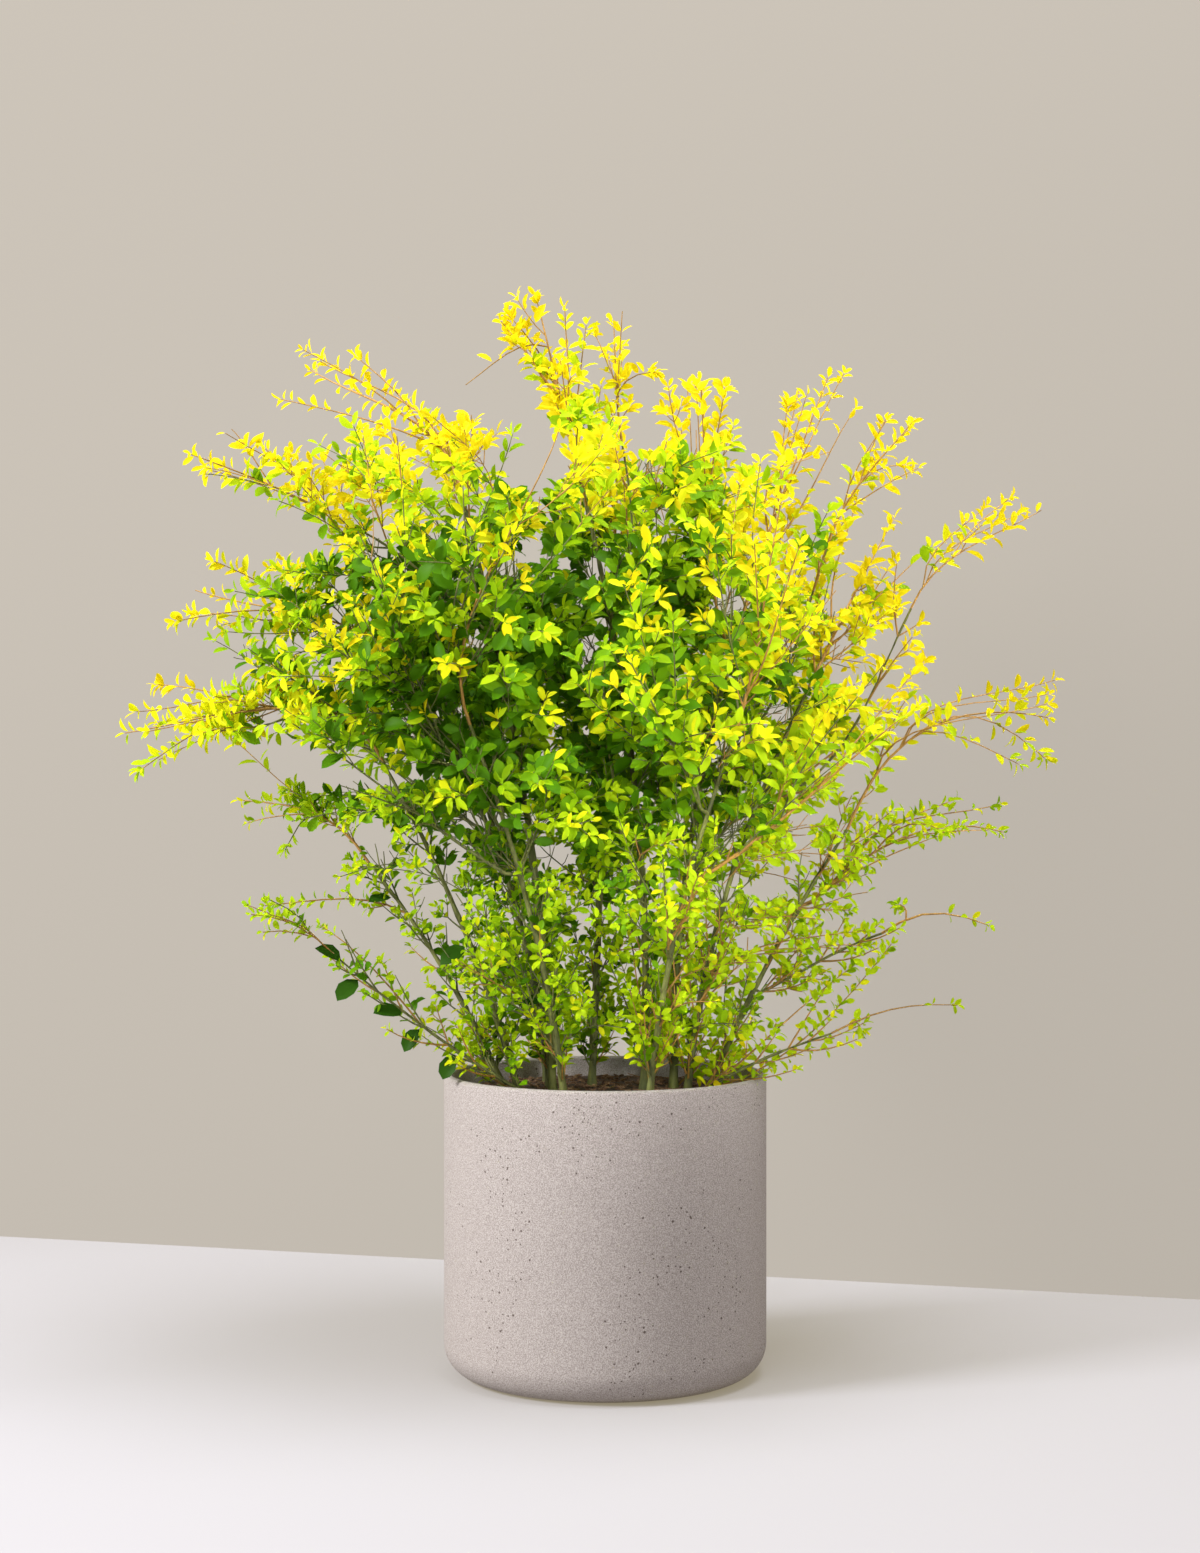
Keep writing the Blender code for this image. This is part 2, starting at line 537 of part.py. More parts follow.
class Mass:
    """One mass of foliage while it grows."""

    def __init__(self, name, spec, limb_tree, spaces, placed):
        self.name = name
        self.spec = spec
        self.limb_tree = limb_tree
        self.spaces = spaces
        self.placed = placed
        self.own = Placed()
        self.draw = random.Random(name)
        self.pieces = []
        self.leaf = leaf_length(spec)

    def free(self, shape, roomy, matrix, apart):
        """Whether a piece keeps to the mass's space and stays off every limb, every
        other mass and the mass's own pieces."""
        points, faces = as_polygons(roomy, matrix)
        middle = sum(points, Vector()) / len(points)
        if not self.spaces.holds(self.name, points + [middle]):
            return False
        tree = BVHTree.FromPolygons(points, faces)
        if self.limb_tree.overlap(tree) or self.placed.touches(tree, points):
            return False
        points, faces = as_polygons(shape, matrix)
        return not self.own.touches(BVHTree.FromPolygons(points, faces), points, apart)

    def keep(self, shape, roomy, matrix):
        """Adds a piece and gives its number."""
        points, faces = as_polygons(shape, matrix)
        self.own.add(points, faces)
        wide_points, wide_faces = as_polygons(roomy, matrix)
        self.pieces.append((points, faces, wide_points, wide_faces))
        return len(self.pieces) - 1

    def jitter(self, size):
        """A small random turn."""
        return Vector([self.draw.uniform(-size, size) for _ in range(3)])

    def facing(self, place, way):
        """Which way a leaf's upper side looks: up, and out of the crown."""
        out = Vector((place.x, place.y, 0)).normalized()
        face = out * self.draw.uniform(0.3, 1.2) + Vector((0, 0, 0.5)) + self.jitter(FACE_SWAY)
        return face if face.cross(way).length > 0.3 else upright(way)

    def grow_leaf(self, place, along, twig):
        """A leaf that springs from a twig, as long as finds room."""
        for cut in LEAF_CUTS:
            length = self.leaf * cut * self.draw.uniform(0.85, 1.1)
            shape, roomy = leaf_shape(length), leaf_shape(length, LEAF_ROOM)
            kept = self.fit_leaf(shape, roomy, place, along, twig)
            shape.free()
            roomy.free()
            if kept:
                return

    def fit_leaf(self, shape, roomy, place, along, twig):
        """Turns a leaf a little until it is free, and keeps it if it is."""
        for _ in range(TRIES):
            way = (along + self.jitter(LEAF_SWAY)).normalized()
            face = self.facing(place, way)
            matrix = frame_at(place - way * LEAF_SINK, way, face)
            if self.free(shape, roomy, matrix, twig):
                self.keep(shape, roomy, matrix)
                return True
        return False

    def grow_shoot(self, stem, share, outward, length, axis):
        """A shoot that springs from a side of the mass's stem, as long as finds room."""
        place, normal = stem.side(share, outward)
        _, along = point_along(stem.points, share)
        girth = min(SHOOT_GIRTH, stem.girth(share) * SHOOT_FIT)
        for cut in SHOOT_CUTS:
            way = along * math.cos(SHOOT_OPENING) + normal * math.sin(SHOOT_OPENING)
            way = (way + self.jitter(SHOOT_SWAY)).normalized()
            matrix = frame_at(place - way * SHOOT_SINK, way, upright(way))
            clear_of_stem = Matrix.Translation(way * LEAF_ROOM * 3) @ matrix
            shape = shoot_shape(length * cut, girth)
            roomy = shoot_shape(length * cut, girth, LEAF_ROOM)
            fits = self.free(shape, roomy, clear_of_stem, axis)
            if fits:
                twig = self.keep(shape, roomy, matrix)
                shape.transform(matrix)
                ends = [matrix.translation, matrix @ Vector((0, 0, length * cut))]
                self.dress_shoot(Branch(ends, [girth, girth * SHOOT_END_SHARE], shape), way, twig)
            shape.free()
            roomy.free()
            if fits:
                return

    def dress_shoot(self, shoot, way, twig):
        """The leaves of one shoot: one at its tip and a pair half way."""
        self.grow_leaf(shoot.points[-1], way, twig)
        up = upright(way)
        level = up.cross(way)
        for side in (level, -level):
            place, normal = shoot.side(0.5, side + up * 0.5)
            spread = way * math.cos(LEAF_OPENING) + normal * math.sin(LEAF_OPENING)
            self.grow_leaf(place, spread, twig)

    def grow(self, line, radii):
        """The stem of the mass, its shoots on all three sides, and the leaf at its end."""
        shape = tube(line, radii, TWIG_SIDES)
        roomy = tube(line[1:], [r + LEAF_ROOM for r in radii[1:]], TWIG_SIDES)
        if self.limb_tree.overlap(BVHTree.FromBMesh(roomy)):
            raise ValueError(f"the stem of {self.name} runs into a limb")
        axis = self.keep(shape, roomy, Matrix())
        stem = Branch(line, radii, shape)
        shape.free()
        roomy.free()
        outward = Vector((self.draw.uniform(-1, 1), self.draw.uniform(-1, 1), 0.3))
        for share, long in SHOOT_PLACES:
            length = self.spec.spread * long * self.draw.uniform(0.85, 1.15)
            self.grow_shoot(stem, share, outward, length, axis)
            outward = Matrix.Rotation(THIRD_TURN, 3, point_along(line, share)[1]) @ outward
        tip, along = point_along(line, 1)
        self.grow_leaf(tip, along, axis)

    def join(self, collection, material):
        """Unites the pieces to one closed solid and drops what came loose."""
        parts = new_collection("pieces of " + self.name)
        objects = []
        for points, faces, _, _ in self.pieces:
            mesh = bpy.data.meshes.new("piece")
            mesh.from_pydata(points, [], faces)
            objects.append(add_object("piece", mesh, parts))
        whole = objects[0]
        whole.name = self.name
        parts.objects.unlink(whole)
        collection.objects.link(whole)
        union = whole.modifiers.new("union", "BOOLEAN")
        union.operation = "UNION"
        union.operand_type = "COLLECTION"
        union.solver = "MANIFOLD"
        union.collection = parts
        graph = bpy.context.evaluated_depsgraph_get()
        joined = bpy.data.meshes.new_from_object(whole.evaluated_get(graph))
        whole.modifiers.clear()
        whole.data = joined
        joined.name = self.name
        for piece in objects[1:]:
            bpy.data.objects.remove(piece)
        bpy.data.collections.remove(parts)
        keep_largest(joined)
        joined.materials.clear()
        joined.materials.append(material)


def keep_largest(mesh):
    """Leaves only the largest connected shell of a mesh, with its flat faces made whole."""
    shape = bmesh.new()
    shape.from_mesh(mesh)
    bmesh.ops.dissolve_limit(
        shape, angle_limit=FLAT_ANGLE, use_dissolve_boundaries=False, verts=shape.verts, edges=shape.edges
    )
    bmesh.ops.triangulate(shape, faces=shape.faces)
    left = set(shape.verts)
    groups = []
    while left:
        group, edge = set(), [left.pop()]
        while edge:
            vert = edge.pop()
            group.add(vert)
            for link in vert.link_edges:
                other = link.other_vert(vert)
                if other in left:
                    left.remove(other)
                    edge.append(other)
        groups.append(group)
    groups.sort(key=len, reverse=True)
    scraps = [vert for group in groups[1:] for vert in group]
    bmesh.ops.delete(shape, geom=scraps, context="VERTS")
    shape.to_mesh(mesh)
    shape.free()


def leaf_length(spec):
    """How long a mass's leaves are: long ones where it spreads wide."""
    return min(LEAF_LONGEST, LEAF_SHARE * spec.spread)


def mass_line(spec, limbs):
    """The path of a mass's stem, which leaves room for a leaf at its end, and its radii."""
    limb = limbs[spec.off]
    place, way = limb.seat(spec.at, spec.reach)
    knuckle = place + way * MASS_KNUCKLE
    along = way if spec.at == 1 else way + point_along(limb.points, spec.at)[1]
    reach = Vector(spec.reach)
    end = reach - (reach - knuckle).normalized() * leaf_length(spec)
    line = [place] + bowed(knuckle, along, end, MASS_BOW, AXIS_POINTS - 1)
    girth = min(AXIS_GIRTH, limb.girth(spec.at) * BOUGH_SHARE)
    return line, taper(girth, AXIS_END_GIRTH, AXIS_POINTS)


def leaf_colour(height):
    """Lime low in the crown, and gold at its top."""
    share = min(1, max(0, (height - LIME_BELOW) / (GOLD_ABOVE - LIME_BELOW)))
    return [a + (b - a) * share for a, b in zip(LEAF_LIME, LEAF_GOLD)]


def build_masses(limbs, collection):
    """All the masses of foliage, one after the other, each in its own space."""
    limb_tree = outer_surface(limbs, LIMB_ROOM)
    lines = {name: mass_line(spec, limbs) for name, spec in MASSES.items()}
    paths = {name: line for name, (line, _) in lines.items()}
    spaces = Spaces(paths, {name: spec.spread for name, spec in MASSES.items()})
    placed = Placed()
    for name, spec in MASSES.items():
        mass = Mass(name, spec, limb_tree, spaces, placed)
        mass.grow(*lines[name])
        material = new_material("leaves of " + name, leaf_colour(spec.reach[2]), 0.5)
        mass.join(collection, material)
        for _, _, points, faces in mass.pieces:
            placed.add(points, faces)


def main():
    """Builds the whole plant and its planter."""
    clear_scene()
    shrub = new_collection("potted_privet")
    build_pot(shrub)
    build_soil(shrub)
    limbs = {}
    for name, stem in STEMS.items():
        limbs[name] = build_stem(name, stem, shrub)
    for name, bough in BOUGHS.items():
        limbs[name] = build_bough(name, bough, limbs, shrub)
    build_masses(limbs, shrub)


main()
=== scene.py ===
"""The looks of a potted Chinese privet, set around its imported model.

The planter gets fine concrete, the soil gets bark chips, the stems and boughs get bark with
relief, and each mass of foliage is grown again, by the same rule, to finer twigs and leaves.
"""

import math
import random
from bisect import bisect_right
from collections import namedtuple

import bmesh
import bpy
import numpy as np
from bpy.props import FloatProperty, FloatVectorProperty, IntProperty, PointerProperty
from mathutils import Matrix, Vector, noise
from mathutils.bvhtree import BVHTree
from mathutils.kdtree import KDTree


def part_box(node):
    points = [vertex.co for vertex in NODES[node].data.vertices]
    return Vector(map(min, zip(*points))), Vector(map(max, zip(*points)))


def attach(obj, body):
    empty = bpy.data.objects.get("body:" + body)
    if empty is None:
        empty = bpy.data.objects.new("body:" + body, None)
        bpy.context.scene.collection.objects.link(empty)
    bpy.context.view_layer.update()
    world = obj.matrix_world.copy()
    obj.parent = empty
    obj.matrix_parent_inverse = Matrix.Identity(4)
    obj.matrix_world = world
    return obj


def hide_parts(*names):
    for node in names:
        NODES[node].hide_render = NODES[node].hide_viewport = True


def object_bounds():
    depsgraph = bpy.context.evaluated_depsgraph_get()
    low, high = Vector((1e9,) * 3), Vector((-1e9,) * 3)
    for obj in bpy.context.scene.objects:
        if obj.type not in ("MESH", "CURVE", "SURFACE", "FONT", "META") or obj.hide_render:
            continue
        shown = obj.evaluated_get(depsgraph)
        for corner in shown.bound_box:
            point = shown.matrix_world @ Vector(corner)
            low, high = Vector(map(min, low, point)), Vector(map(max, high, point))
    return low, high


bl_info = {
    "name": "Potted Chinese privet",
    "version": (1, 0, 0),
    "blender": (4, 5, 0),
    "location": "3D View > Sidebar > Privet",
    "description": "Dresses a potted privet: planter, soil, bark, twigs, leaves and stage",
    "category": "Object",
}

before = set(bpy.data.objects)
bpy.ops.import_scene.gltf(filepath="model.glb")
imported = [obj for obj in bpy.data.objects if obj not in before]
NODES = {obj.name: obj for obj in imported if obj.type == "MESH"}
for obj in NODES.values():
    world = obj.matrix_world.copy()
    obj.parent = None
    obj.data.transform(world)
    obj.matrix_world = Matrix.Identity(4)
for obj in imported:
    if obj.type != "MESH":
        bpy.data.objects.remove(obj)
CAD_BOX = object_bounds()

POT_LOW, POT_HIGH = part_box("pot")
SOIL_LOW, SOIL_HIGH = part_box("soil")
POT_RADIUS = POT_HIGH.x
POT_HEIGHT = POT_HIGH.z
POT_WALL = 0.011
POT_FLOOR = 0.016
POT_FOOT_ROUND = 0.038
POT_RIM_ROUND = 0.0045
POT_SIDES = 192
SOIL_RADIUS = SOIL_HIGH.x
SOIL_TOP = SOIL_HIGH.z

# The limbs and masses, as in the part's source, in metres.
# A stem: where its foot stands, where its tip ends, how far its middle bows out of the
# straight line between them, and its radius at the foot.
Stem = namedtuple("Stem", "foot tip bow girth")
STEMS = {
    "stem_left_low": Stem((-0.078, -0.070), (-0.310, -0.105, 0.500), (0, 0, -0.010), 0.0034),
    "stem_left_outer": Stem((-0.118, 0.012), (-0.282, 0.030, 0.600), (0.010, 0, 0.005), 0.0046),
    "stem_left_mid": Stem((-0.100, -0.034), (-0.256, -0.030, 0.712), (0.014, 0, 0), 0.0052),
    "stem_left_inner": Stem((-0.066, 0.040), (-0.222, 0.045, 0.810), (0.030, 0, 0), 0.0052),
    "stem_left_main": Stem((-0.062, -0.004), (-0.172, 0.000, 1.045), (0.020, 0, 0), 0.0062),
    "stem_centre_back": Stem((-0.016, 0.062), (0.010, 0.150, 0.940), (0, -0.020, 0), 0.0056),
    "stem_centre": Stem((0.046, 0.008), (-0.034, 0.000, 1.070), (0.028, 0, 0), 0.0062),
    "stem_right_inner": Stem((0.082, 0.026), (0.160, 0.030, 0.880), (-0.022, 0, 0), 0.0058),
    "stem_right_mid": Stem((0.096, -0.022), (0.235, -0.030, 0.800), (-0.024, 0, 0), 0.0054),
    "stem_right_outer": Stem((0.122, 0.010), (0.285, -0.010, 0.640), (-0.010, 0, 0), 0.0048),
    "stem_right_low": Stem((0.092, -0.070), (0.262, -0.060, 0.405), (0, 0, 0.006), 0.0034),
    "stem_front_left": Stem((-0.046, -0.100), (-0.150, -0.195, 0.760), (0.014, 0.010, 0), 0.0052),
    "stem_front_right": Stem((0.050, -0.104), (0.140, -0.200, 0.740), (-0.014, 0.010, 0), 0.0052),
    "stem_back_left": Stem((-0.070, 0.092), (-0.180, 0.190, 0.760), (0.014, -0.012, 0), 0.0052),
    "stem_back_right": Stem((0.052, 0.098), (0.190, 0.190, 0.770), (-0.014, -0.012, 0), 0.0052),
}

# A bough: the stem that it forks off, how far up that stem, and the rest as for a stem.
Bough = namedtuple("Bough", "off at tip bow girth")
BOUGHS = {
    "bough_left_high": Bough("stem_left_main", 0.76, (-0.300, 0.020, 1.000), (0, 0, 0.012), 0.0034),
    "bough_top": Bough("stem_centre", 0.80, (0.020, 0.030, 1.100), (0.010, 0, 0), 0.0034),
    "bough_upper_right": Bough("stem_right_inner", 0.70, (0.265, 0.010, 0.980), (0.010, 0, 0), 0.0036),
    "bough_right_arm": Bough("stem_right_mid", 0.72, (0.360, -0.012, 0.900), (0.010, 0, -0.008), 0.0034),
    "bough_right_low": Bough("stem_right_outer", 0.38, (0.322, -0.045, 0.520), (0, 0, 0.006), 0.0028),
}

# A mass: the limb that carries it, how far up that limb (1 is its tip), the furthest
# point that it reaches, how far it spreads about the line between the two, how bushy it
# stays outside the crown's edge, how far its stem arches up, and how much of that stem is
# bare.
Foliage = namedtuple("Foliage", "off at reach spread bushy arch bare", defaults=[0, 0.004, 0])
MASSES = {
    "mass_top_left": Foliage("stem_centre", 1, (-0.082, 0.000, 1.270), 0.125, 0.25),
    "mass_top_centre": Foliage("bough_top", 1, (0.010, 0.050, 1.250), 0.115),
    "mass_top_inner_right": Foliage("stem_right_inner", 0.95, (0.110, -0.070, 1.160), 0.125),
    "mass_top_right": Foliage("stem_right_inner", 1, (0.269, 0.070, 1.184), 0.130),
    "mass_upper_right": Foliage("bough_upper_right", 1, (0.355, -0.060, 1.112), 0.120),
    "mass_upper_left": Foliage("stem_left_main", 1, (-0.356, 0.080, 1.195), 0.120),
    "mass_left_high": Foliage("bough_left_high", 1, (-0.476, -0.080, 1.073), 0.120),
    "mass_top_back": Foliage("stem_centre_back", 1, (0.020, 0.230, 1.150), 0.150),
    "mass_top_front": Foliage("stem_front_left", 1, (-0.050, -0.250, 1.080), 0.150),
    "mass_left_upper": Foliage("stem_left_inner", 1, (-0.498, 0.090, 0.929), 0.125),
    "mass_right_high": Foliage("stem_right_mid", 1, (0.355, 0.120, 1.020), 0.120),
    "mass_right_arm": Foliage("bough_right_arm", 1, (0.522, 0.040, 1.021), 0.085),
    "mass_front_left_high": Foliage("stem_front_left", 0.85, (-0.270, -0.240, 0.970), 0.140),
    "mass_front_right_high": Foliage("stem_front_right", 1, (0.190, -0.260, 1.000), 0.150),
    "mass_back_left_high": Foliage("stem_back_left", 1, (-0.250, 0.240, 1.010), 0.150),
    "mass_back_right_high": Foliage("stem_back_right", 1, (0.250, 0.250, 1.000), 0.150),
    "mass_core_left_high": Foliage("stem_left_main", 0.58, (-0.120, -0.090, 1.000), 0.130),
    "mass_core_right_high": Foliage("stem_centre", 0.62, (0.090, -0.060, 1.010), 0.130),
    "mass_left": Foliage("stem_left_mid", 1, (-0.558, -0.050, 0.753), 0.130, 0, 0.020),
    "mass_right": Foliage("stem_right_outer", 1, (0.516, -0.040, 0.771), 0.125, 0, 0.045),
    "mass_front": Foliage("stem_front_right", 0.80, (0.020, -0.390, 0.830), 0.150),
    "mass_back": Foliage("stem_centre_back", 0.60, (0.000, 0.390, 0.830), 0.160),
    "mass_front_left": Foliage("stem_front_left", 0.60, (-0.340, -0.250, 0.760), 0.140),
    "mass_front_right": Foliage("stem_front_right", 0.62, (0.340, -0.250, 0.780), 0.140),
    "mass_back_left": Foliage("stem_back_left", 0.70, (-0.370, 0.240, 0.790), 0.145),
    "mass_back_right": Foliage("stem_back_right", 0.70, (0.370, 0.230, 0.790), 0.145),
    "mass_core_left": Foliage("stem_left_main", 0.36, (-0.190, -0.080, 0.830), 0.130),
    "mass_core_centre": Foliage("stem_centre", 0.32, (-0.010, -0.090, 0.830), 0.130),
    "mass_core_right": Foliage("stem_right_inner", 0.42, (0.160, -0.090, 0.850), 0.125),
    "mass_left_skirt": Foliage("stem_left_outer", 1, (-0.444, 0.080, 0.674), 0.100, 0, 0.014),
    "mass_right_skirt": Foliage("stem_right_outer", 0.70, (0.482, 0.080, 0.635), 0.090, 0, 0.040),
    "mass_front_skirt": Foliage("stem_front_right", 0.40, (0.060, -0.330, 0.620), 0.120),
    "mass_back_skirt": Foliage("stem_centre_back", 0.34, (-0.030, 0.330, 0.620), 0.130),
    "mass_left_low": Foliage("stem_left_low", 1, (-0.405, -0.130, 0.557), 0.070),
    "mass_right_low": Foliage("bough_right_low", 1, (0.442, -0.080, 0.531), 0.065, 0, 0.014, 0.40),
    "mass_right_bottom": Foliage("stem_right_low", 1, (0.413, -0.020, 0.434), 0.055, 0, 0.010, 0.50),
    "mass_low_left": Foliage("stem_front_left", 0.20, (-0.170, -0.120, 0.570), 0.100),
    "mass_low_right": Foliage("stem_right_mid", 0.22, (0.150, -0.120, 0.560), 0.100),
}

# A whip: the mass or limb that it stands out of, how far up that stem, its tip, and how
# far it arches up.
Whip = namedtuple("Whip", "off at tip arch", defaults=[0.006])
WHIPS = (
    Whip("mass_top_left", 0.45, (-0.115, 0.010, 1.250)),
    Whip("mass_top_left", 0.70, (-0.165, 0.000, 1.165)),
    Whip("mass_top_centre", 0.40, (0.059, 0.000, 1.180)),
    Whip("mass_top_inner_right", 0.50, (0.138, -0.070, 1.151)),
    Whip("mass_top_right", 0.40, (0.218, 0.030, 1.147)),
    Whip("mass_upper_right", 0.45, (0.354, 0.000, 1.070)),
    Whip("mass_front_right", 0.55, (0.370, -0.060, 0.834)),
    Whip("mass_right", 0.45, (0.519, 0.000, 0.724), 0.030),
    Whip("mass_right_skirt", 0.40, (0.395, -0.040, 0.637), 0.020),
    Whip("mass_right_low", 0.25, (0.342, -0.020, 0.551)),
    Whip("mass_right_bottom", 0.15, (0.301, -0.030, 0.403)),
    Whip("mass_left_high", 0.50, (-0.437, -0.030, 1.109)),
    Whip("mass_left_upper", 0.50, (-0.464, 0.020, 0.958)),
    Whip("mass_left_upper", 0.55, (-0.510, 0.020, 0.887)),
    Whip("mass_left", 0.50, (-0.531, 0.000, 0.811)),
    Whip("mass_left", 0.55, (-0.535, -0.080, 0.710)),
    Whip("mass_left_skirt", 0.45, (-0.378, 0.000, 0.616)),
    Whip("stem_left_outer", 0.76, (-0.402, 0.000, 0.550)),
    Whip("stem_left_low", 0.55, (-0.330, -0.060, 0.530), 0.012),
    Whip("stem_right_low", 0.12, (0.336, -0.020, 0.506), -0.030),
    Whip("stem_right_low", 0.25, (0.292, -0.030, 0.482)),
    Whip("stem_right_mid", 0.28, (0.308, -0.040, 0.524)),
    Whip("stem_right_mid", 0.40, (0.290, -0.010, 0.545)),
    Whip("stem_right_inner", 0.22, (0.232, -0.050, 0.500)),
    Whip("stem_centre", 0.03, (0.000, -0.080, 0.500)),
    Whip("stem_front_right", 0.04, (0.028, -0.120, 0.460)),
)

# An old leaf: the stem that still bears it, how far up, and which way it hangs.
OldLeaf = namedtuple("OldLeaf", "stem at way")
OLD_LEAVES = (
    OldLeaf("stem_left_low", 0.95, (-0.6, -0.2, 0.5)),
    OldLeaf("stem_left_low", 0.86, (-0.5, -0.5, -0.4)),
    OldLeaf("stem_left_outer", 0.84, (-0.8, -0.4, -0.1)),
    OldLeaf("stem_left_low", 0.64, (-0.4, -0.5, 0.2)),
    OldLeaf("stem_left_low", 0.55, (-0.6, -0.3, -0.7)),
    OldLeaf("stem_left_low", 0.38, (-0.5, -0.4, -0.9)),
    OldLeaf("stem_left_main", 0.15, (-0.9, -0.4, 0.0)),
    OldLeaf("stem_left_mid", 0.45, (-0.7, -0.5, -0.3)),
)

LIMB_TAPER = 0.42
BOUGH_TAPER = 0.6
BOUGH_SHARE = 0.85
BOUGH_KNUCKLE = 0.005
MASS_KNUCKLE = 0.006
PATH_STEP = 0.008
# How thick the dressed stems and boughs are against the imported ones.
STEM_SLIM = 0.80
BOUGH_SLIM = 0.62
# Below this radius at the foot, a stem is as slim as a bough.
SLENDER = 0.004

# The crown's left and right edges from the soil up, as seen from the front.
Edge = namedtuple("Edge", "height left right")
CROWN_EDGES = (
    Edge(0.33, -0.17, 0.16),
    Edge(0.40, -0.22, 0.24),
    Edge(0.47, -0.31, 0.31),
    Edge(0.54, -0.34, 0.36),
    Edge(0.61, -0.36, 0.36),
    Edge(0.67, -0.42, 0.35),
    Edge(0.71, -0.42, 0.36),
    Edge(0.76, -0.53, 0.39),
    Edge(0.80, -0.50, 0.38),
    Edge(0.87, -0.45, 0.39),
    Edge(0.93, -0.46, 0.37),
    Edge(0.99, -0.36, 0.30),
    Edge(1.07, -0.45, 0.31),
    Edge(1.10, -0.38, 0.23),
    Edge(1.14, -0.20, 0.08),
    Edge(1.18, -0.15, 0.00),
    Edge(1.22, -0.13, -0.02),
)
# Where the gaps below are seen from.
EYE = Vector((-0.006, -3.1, 0.7))
# Gaps that show what is behind the plant, from the front: middle and radius.
Opening = namedtuple("Opening", "x z radius")
OPENINGS = (
    Opening(-0.135, 1.160, 0.037),
    Opening(-0.078, 1.068, 0.033),
    Opening(-0.100, 1.062, 0.022),
    Opening(0.044, 1.105, 0.022),
    Opening(-0.088, 0.969, 0.018),
    Opening(-0.206, 1.049, 0.014),
    Opening(-0.380, 0.730, 0.015),
    Opening(-0.315, 0.705, 0.012),
    Opening(-0.272, 0.634, 0.020),
    Opening(-0.221, 0.705, 0.013),
    Opening(-0.272, 0.696, 0.010),
    Opening(0.289, 0.698, 0.014),
    Opening(0.279, 0.910, 0.012),
    Opening(-0.308, 0.929, 0.010),
    Opening(-0.048, 0.954, 0.010),
    Opening(-0.178, 0.613, 0.016),
    Opening(-0.197, 0.545, 0.032),
    Opening(-0.196, 0.508, 0.030),
    Opening(-0.294, 0.516, 0.026),
    Opening(-0.234, 0.475, 0.019),
    Opening(-0.140, 0.415, 0.018),
    Opening(0.188, 0.571, 0.017),
    Opening(0.268, 0.527, 0.014),
    Opening(0.205, 0.455, 0.031),
    Opening(0.165, 0.509, 0.014),
    Opening(0.223, 0.425, 0.015),
    Opening(0.134, 0.391, 0.013),
)
# How deep the crown is against its width.
CROWN_DEPTH = 0.86
CROWN_MIDDLE = Vector((-0.08, 0, 0.80))
CROWN_FOOT = 0.56
LOWEST_LEAVES = 0.345
GREEN_MIDDLE = Vector((-0.12, 0, 0.92))
UP = Vector((0, 0, 1))
# How close to a limb leaves stay in the gaps.
STEM_LEAVES = 0.022
# How far back a limb still shows from the front, and how wide the view of it is kept.
SHOWN_DEPTH = 0.07
SHOWN_WIDTH = 0.009
# What the growth below the masses goes by instead of a mass's name.
LOW = "low"
# The tint of the old leaves, which is darker than any other.
OLD_TINT = -1.0
# Any direction that no limb runs along, to measure turns from.
ACROSS = Vector((0.31, 0.93, 0.19))

# The leaf: how far along it each rib point lies, and half its width there.
LEAF_OUTLINE = ((0.08, 0.06), (0.31, 0.74), (0.60, 1.0), (0.85, 0.72))
PETIOLE_WIDTH = 0.05
LEAF_FOLDS = ((0.30, 0.30), (0.45, 0.10), (0.20, 0.55), (0.50, 0.40))
# The way that leaves turn their upper sides, to the light.
LIGHT_WAY = Vector((-0.25, -0.50, 0.65))

Leaf = namedtuple("Leaf", "place way face length width tint")
Twig = namedtuple("Twig", "points radii tint")


def unit(vector):
    """A vector one unit long."""
    return vector.normalized()


def square_to(way, towards):
    """The part of one direction that is square to another, one unit long."""
    return (towards - way * towards.dot(way)).normalized()


def bowed(start, leave, tip, bow, count):
    """Points on a cubic curve from start to tip. It leaves start along leave, where that
    is given, and its middle bows out of the straight line by bow."""
    start, tip, bow = Vector(start), Vector(tip), Vector(bow)
    first = start.lerp(tip, 1 / 3) + bow * 4 / 3
    second = start.lerp(tip, 2 / 3) + bow * 4 / 3
    if leave is not None:
        first = start + Vector(leave).normalized() * (tip - start).length / 3 + bow * 4 / 3
    points = []
    for i in range(count):
        t = i / (count - 1)
        s = 1 - t
        points.append(start * s**3 + first * 3 * s * s * t + second * 3 * s * t * t + tip * t**3)
    return points


def steps_for(start, tip, step=PATH_STEP):
    """How many points a path needs to have one at about every step."""
    return max(4, round((Vector(tip) - Vector(start)).length / step))


def taper(first, last, count):
    """Radii that fall evenly from first to last."""
    return [first + (last - first) * i / (count - 1) for i in range(count)]


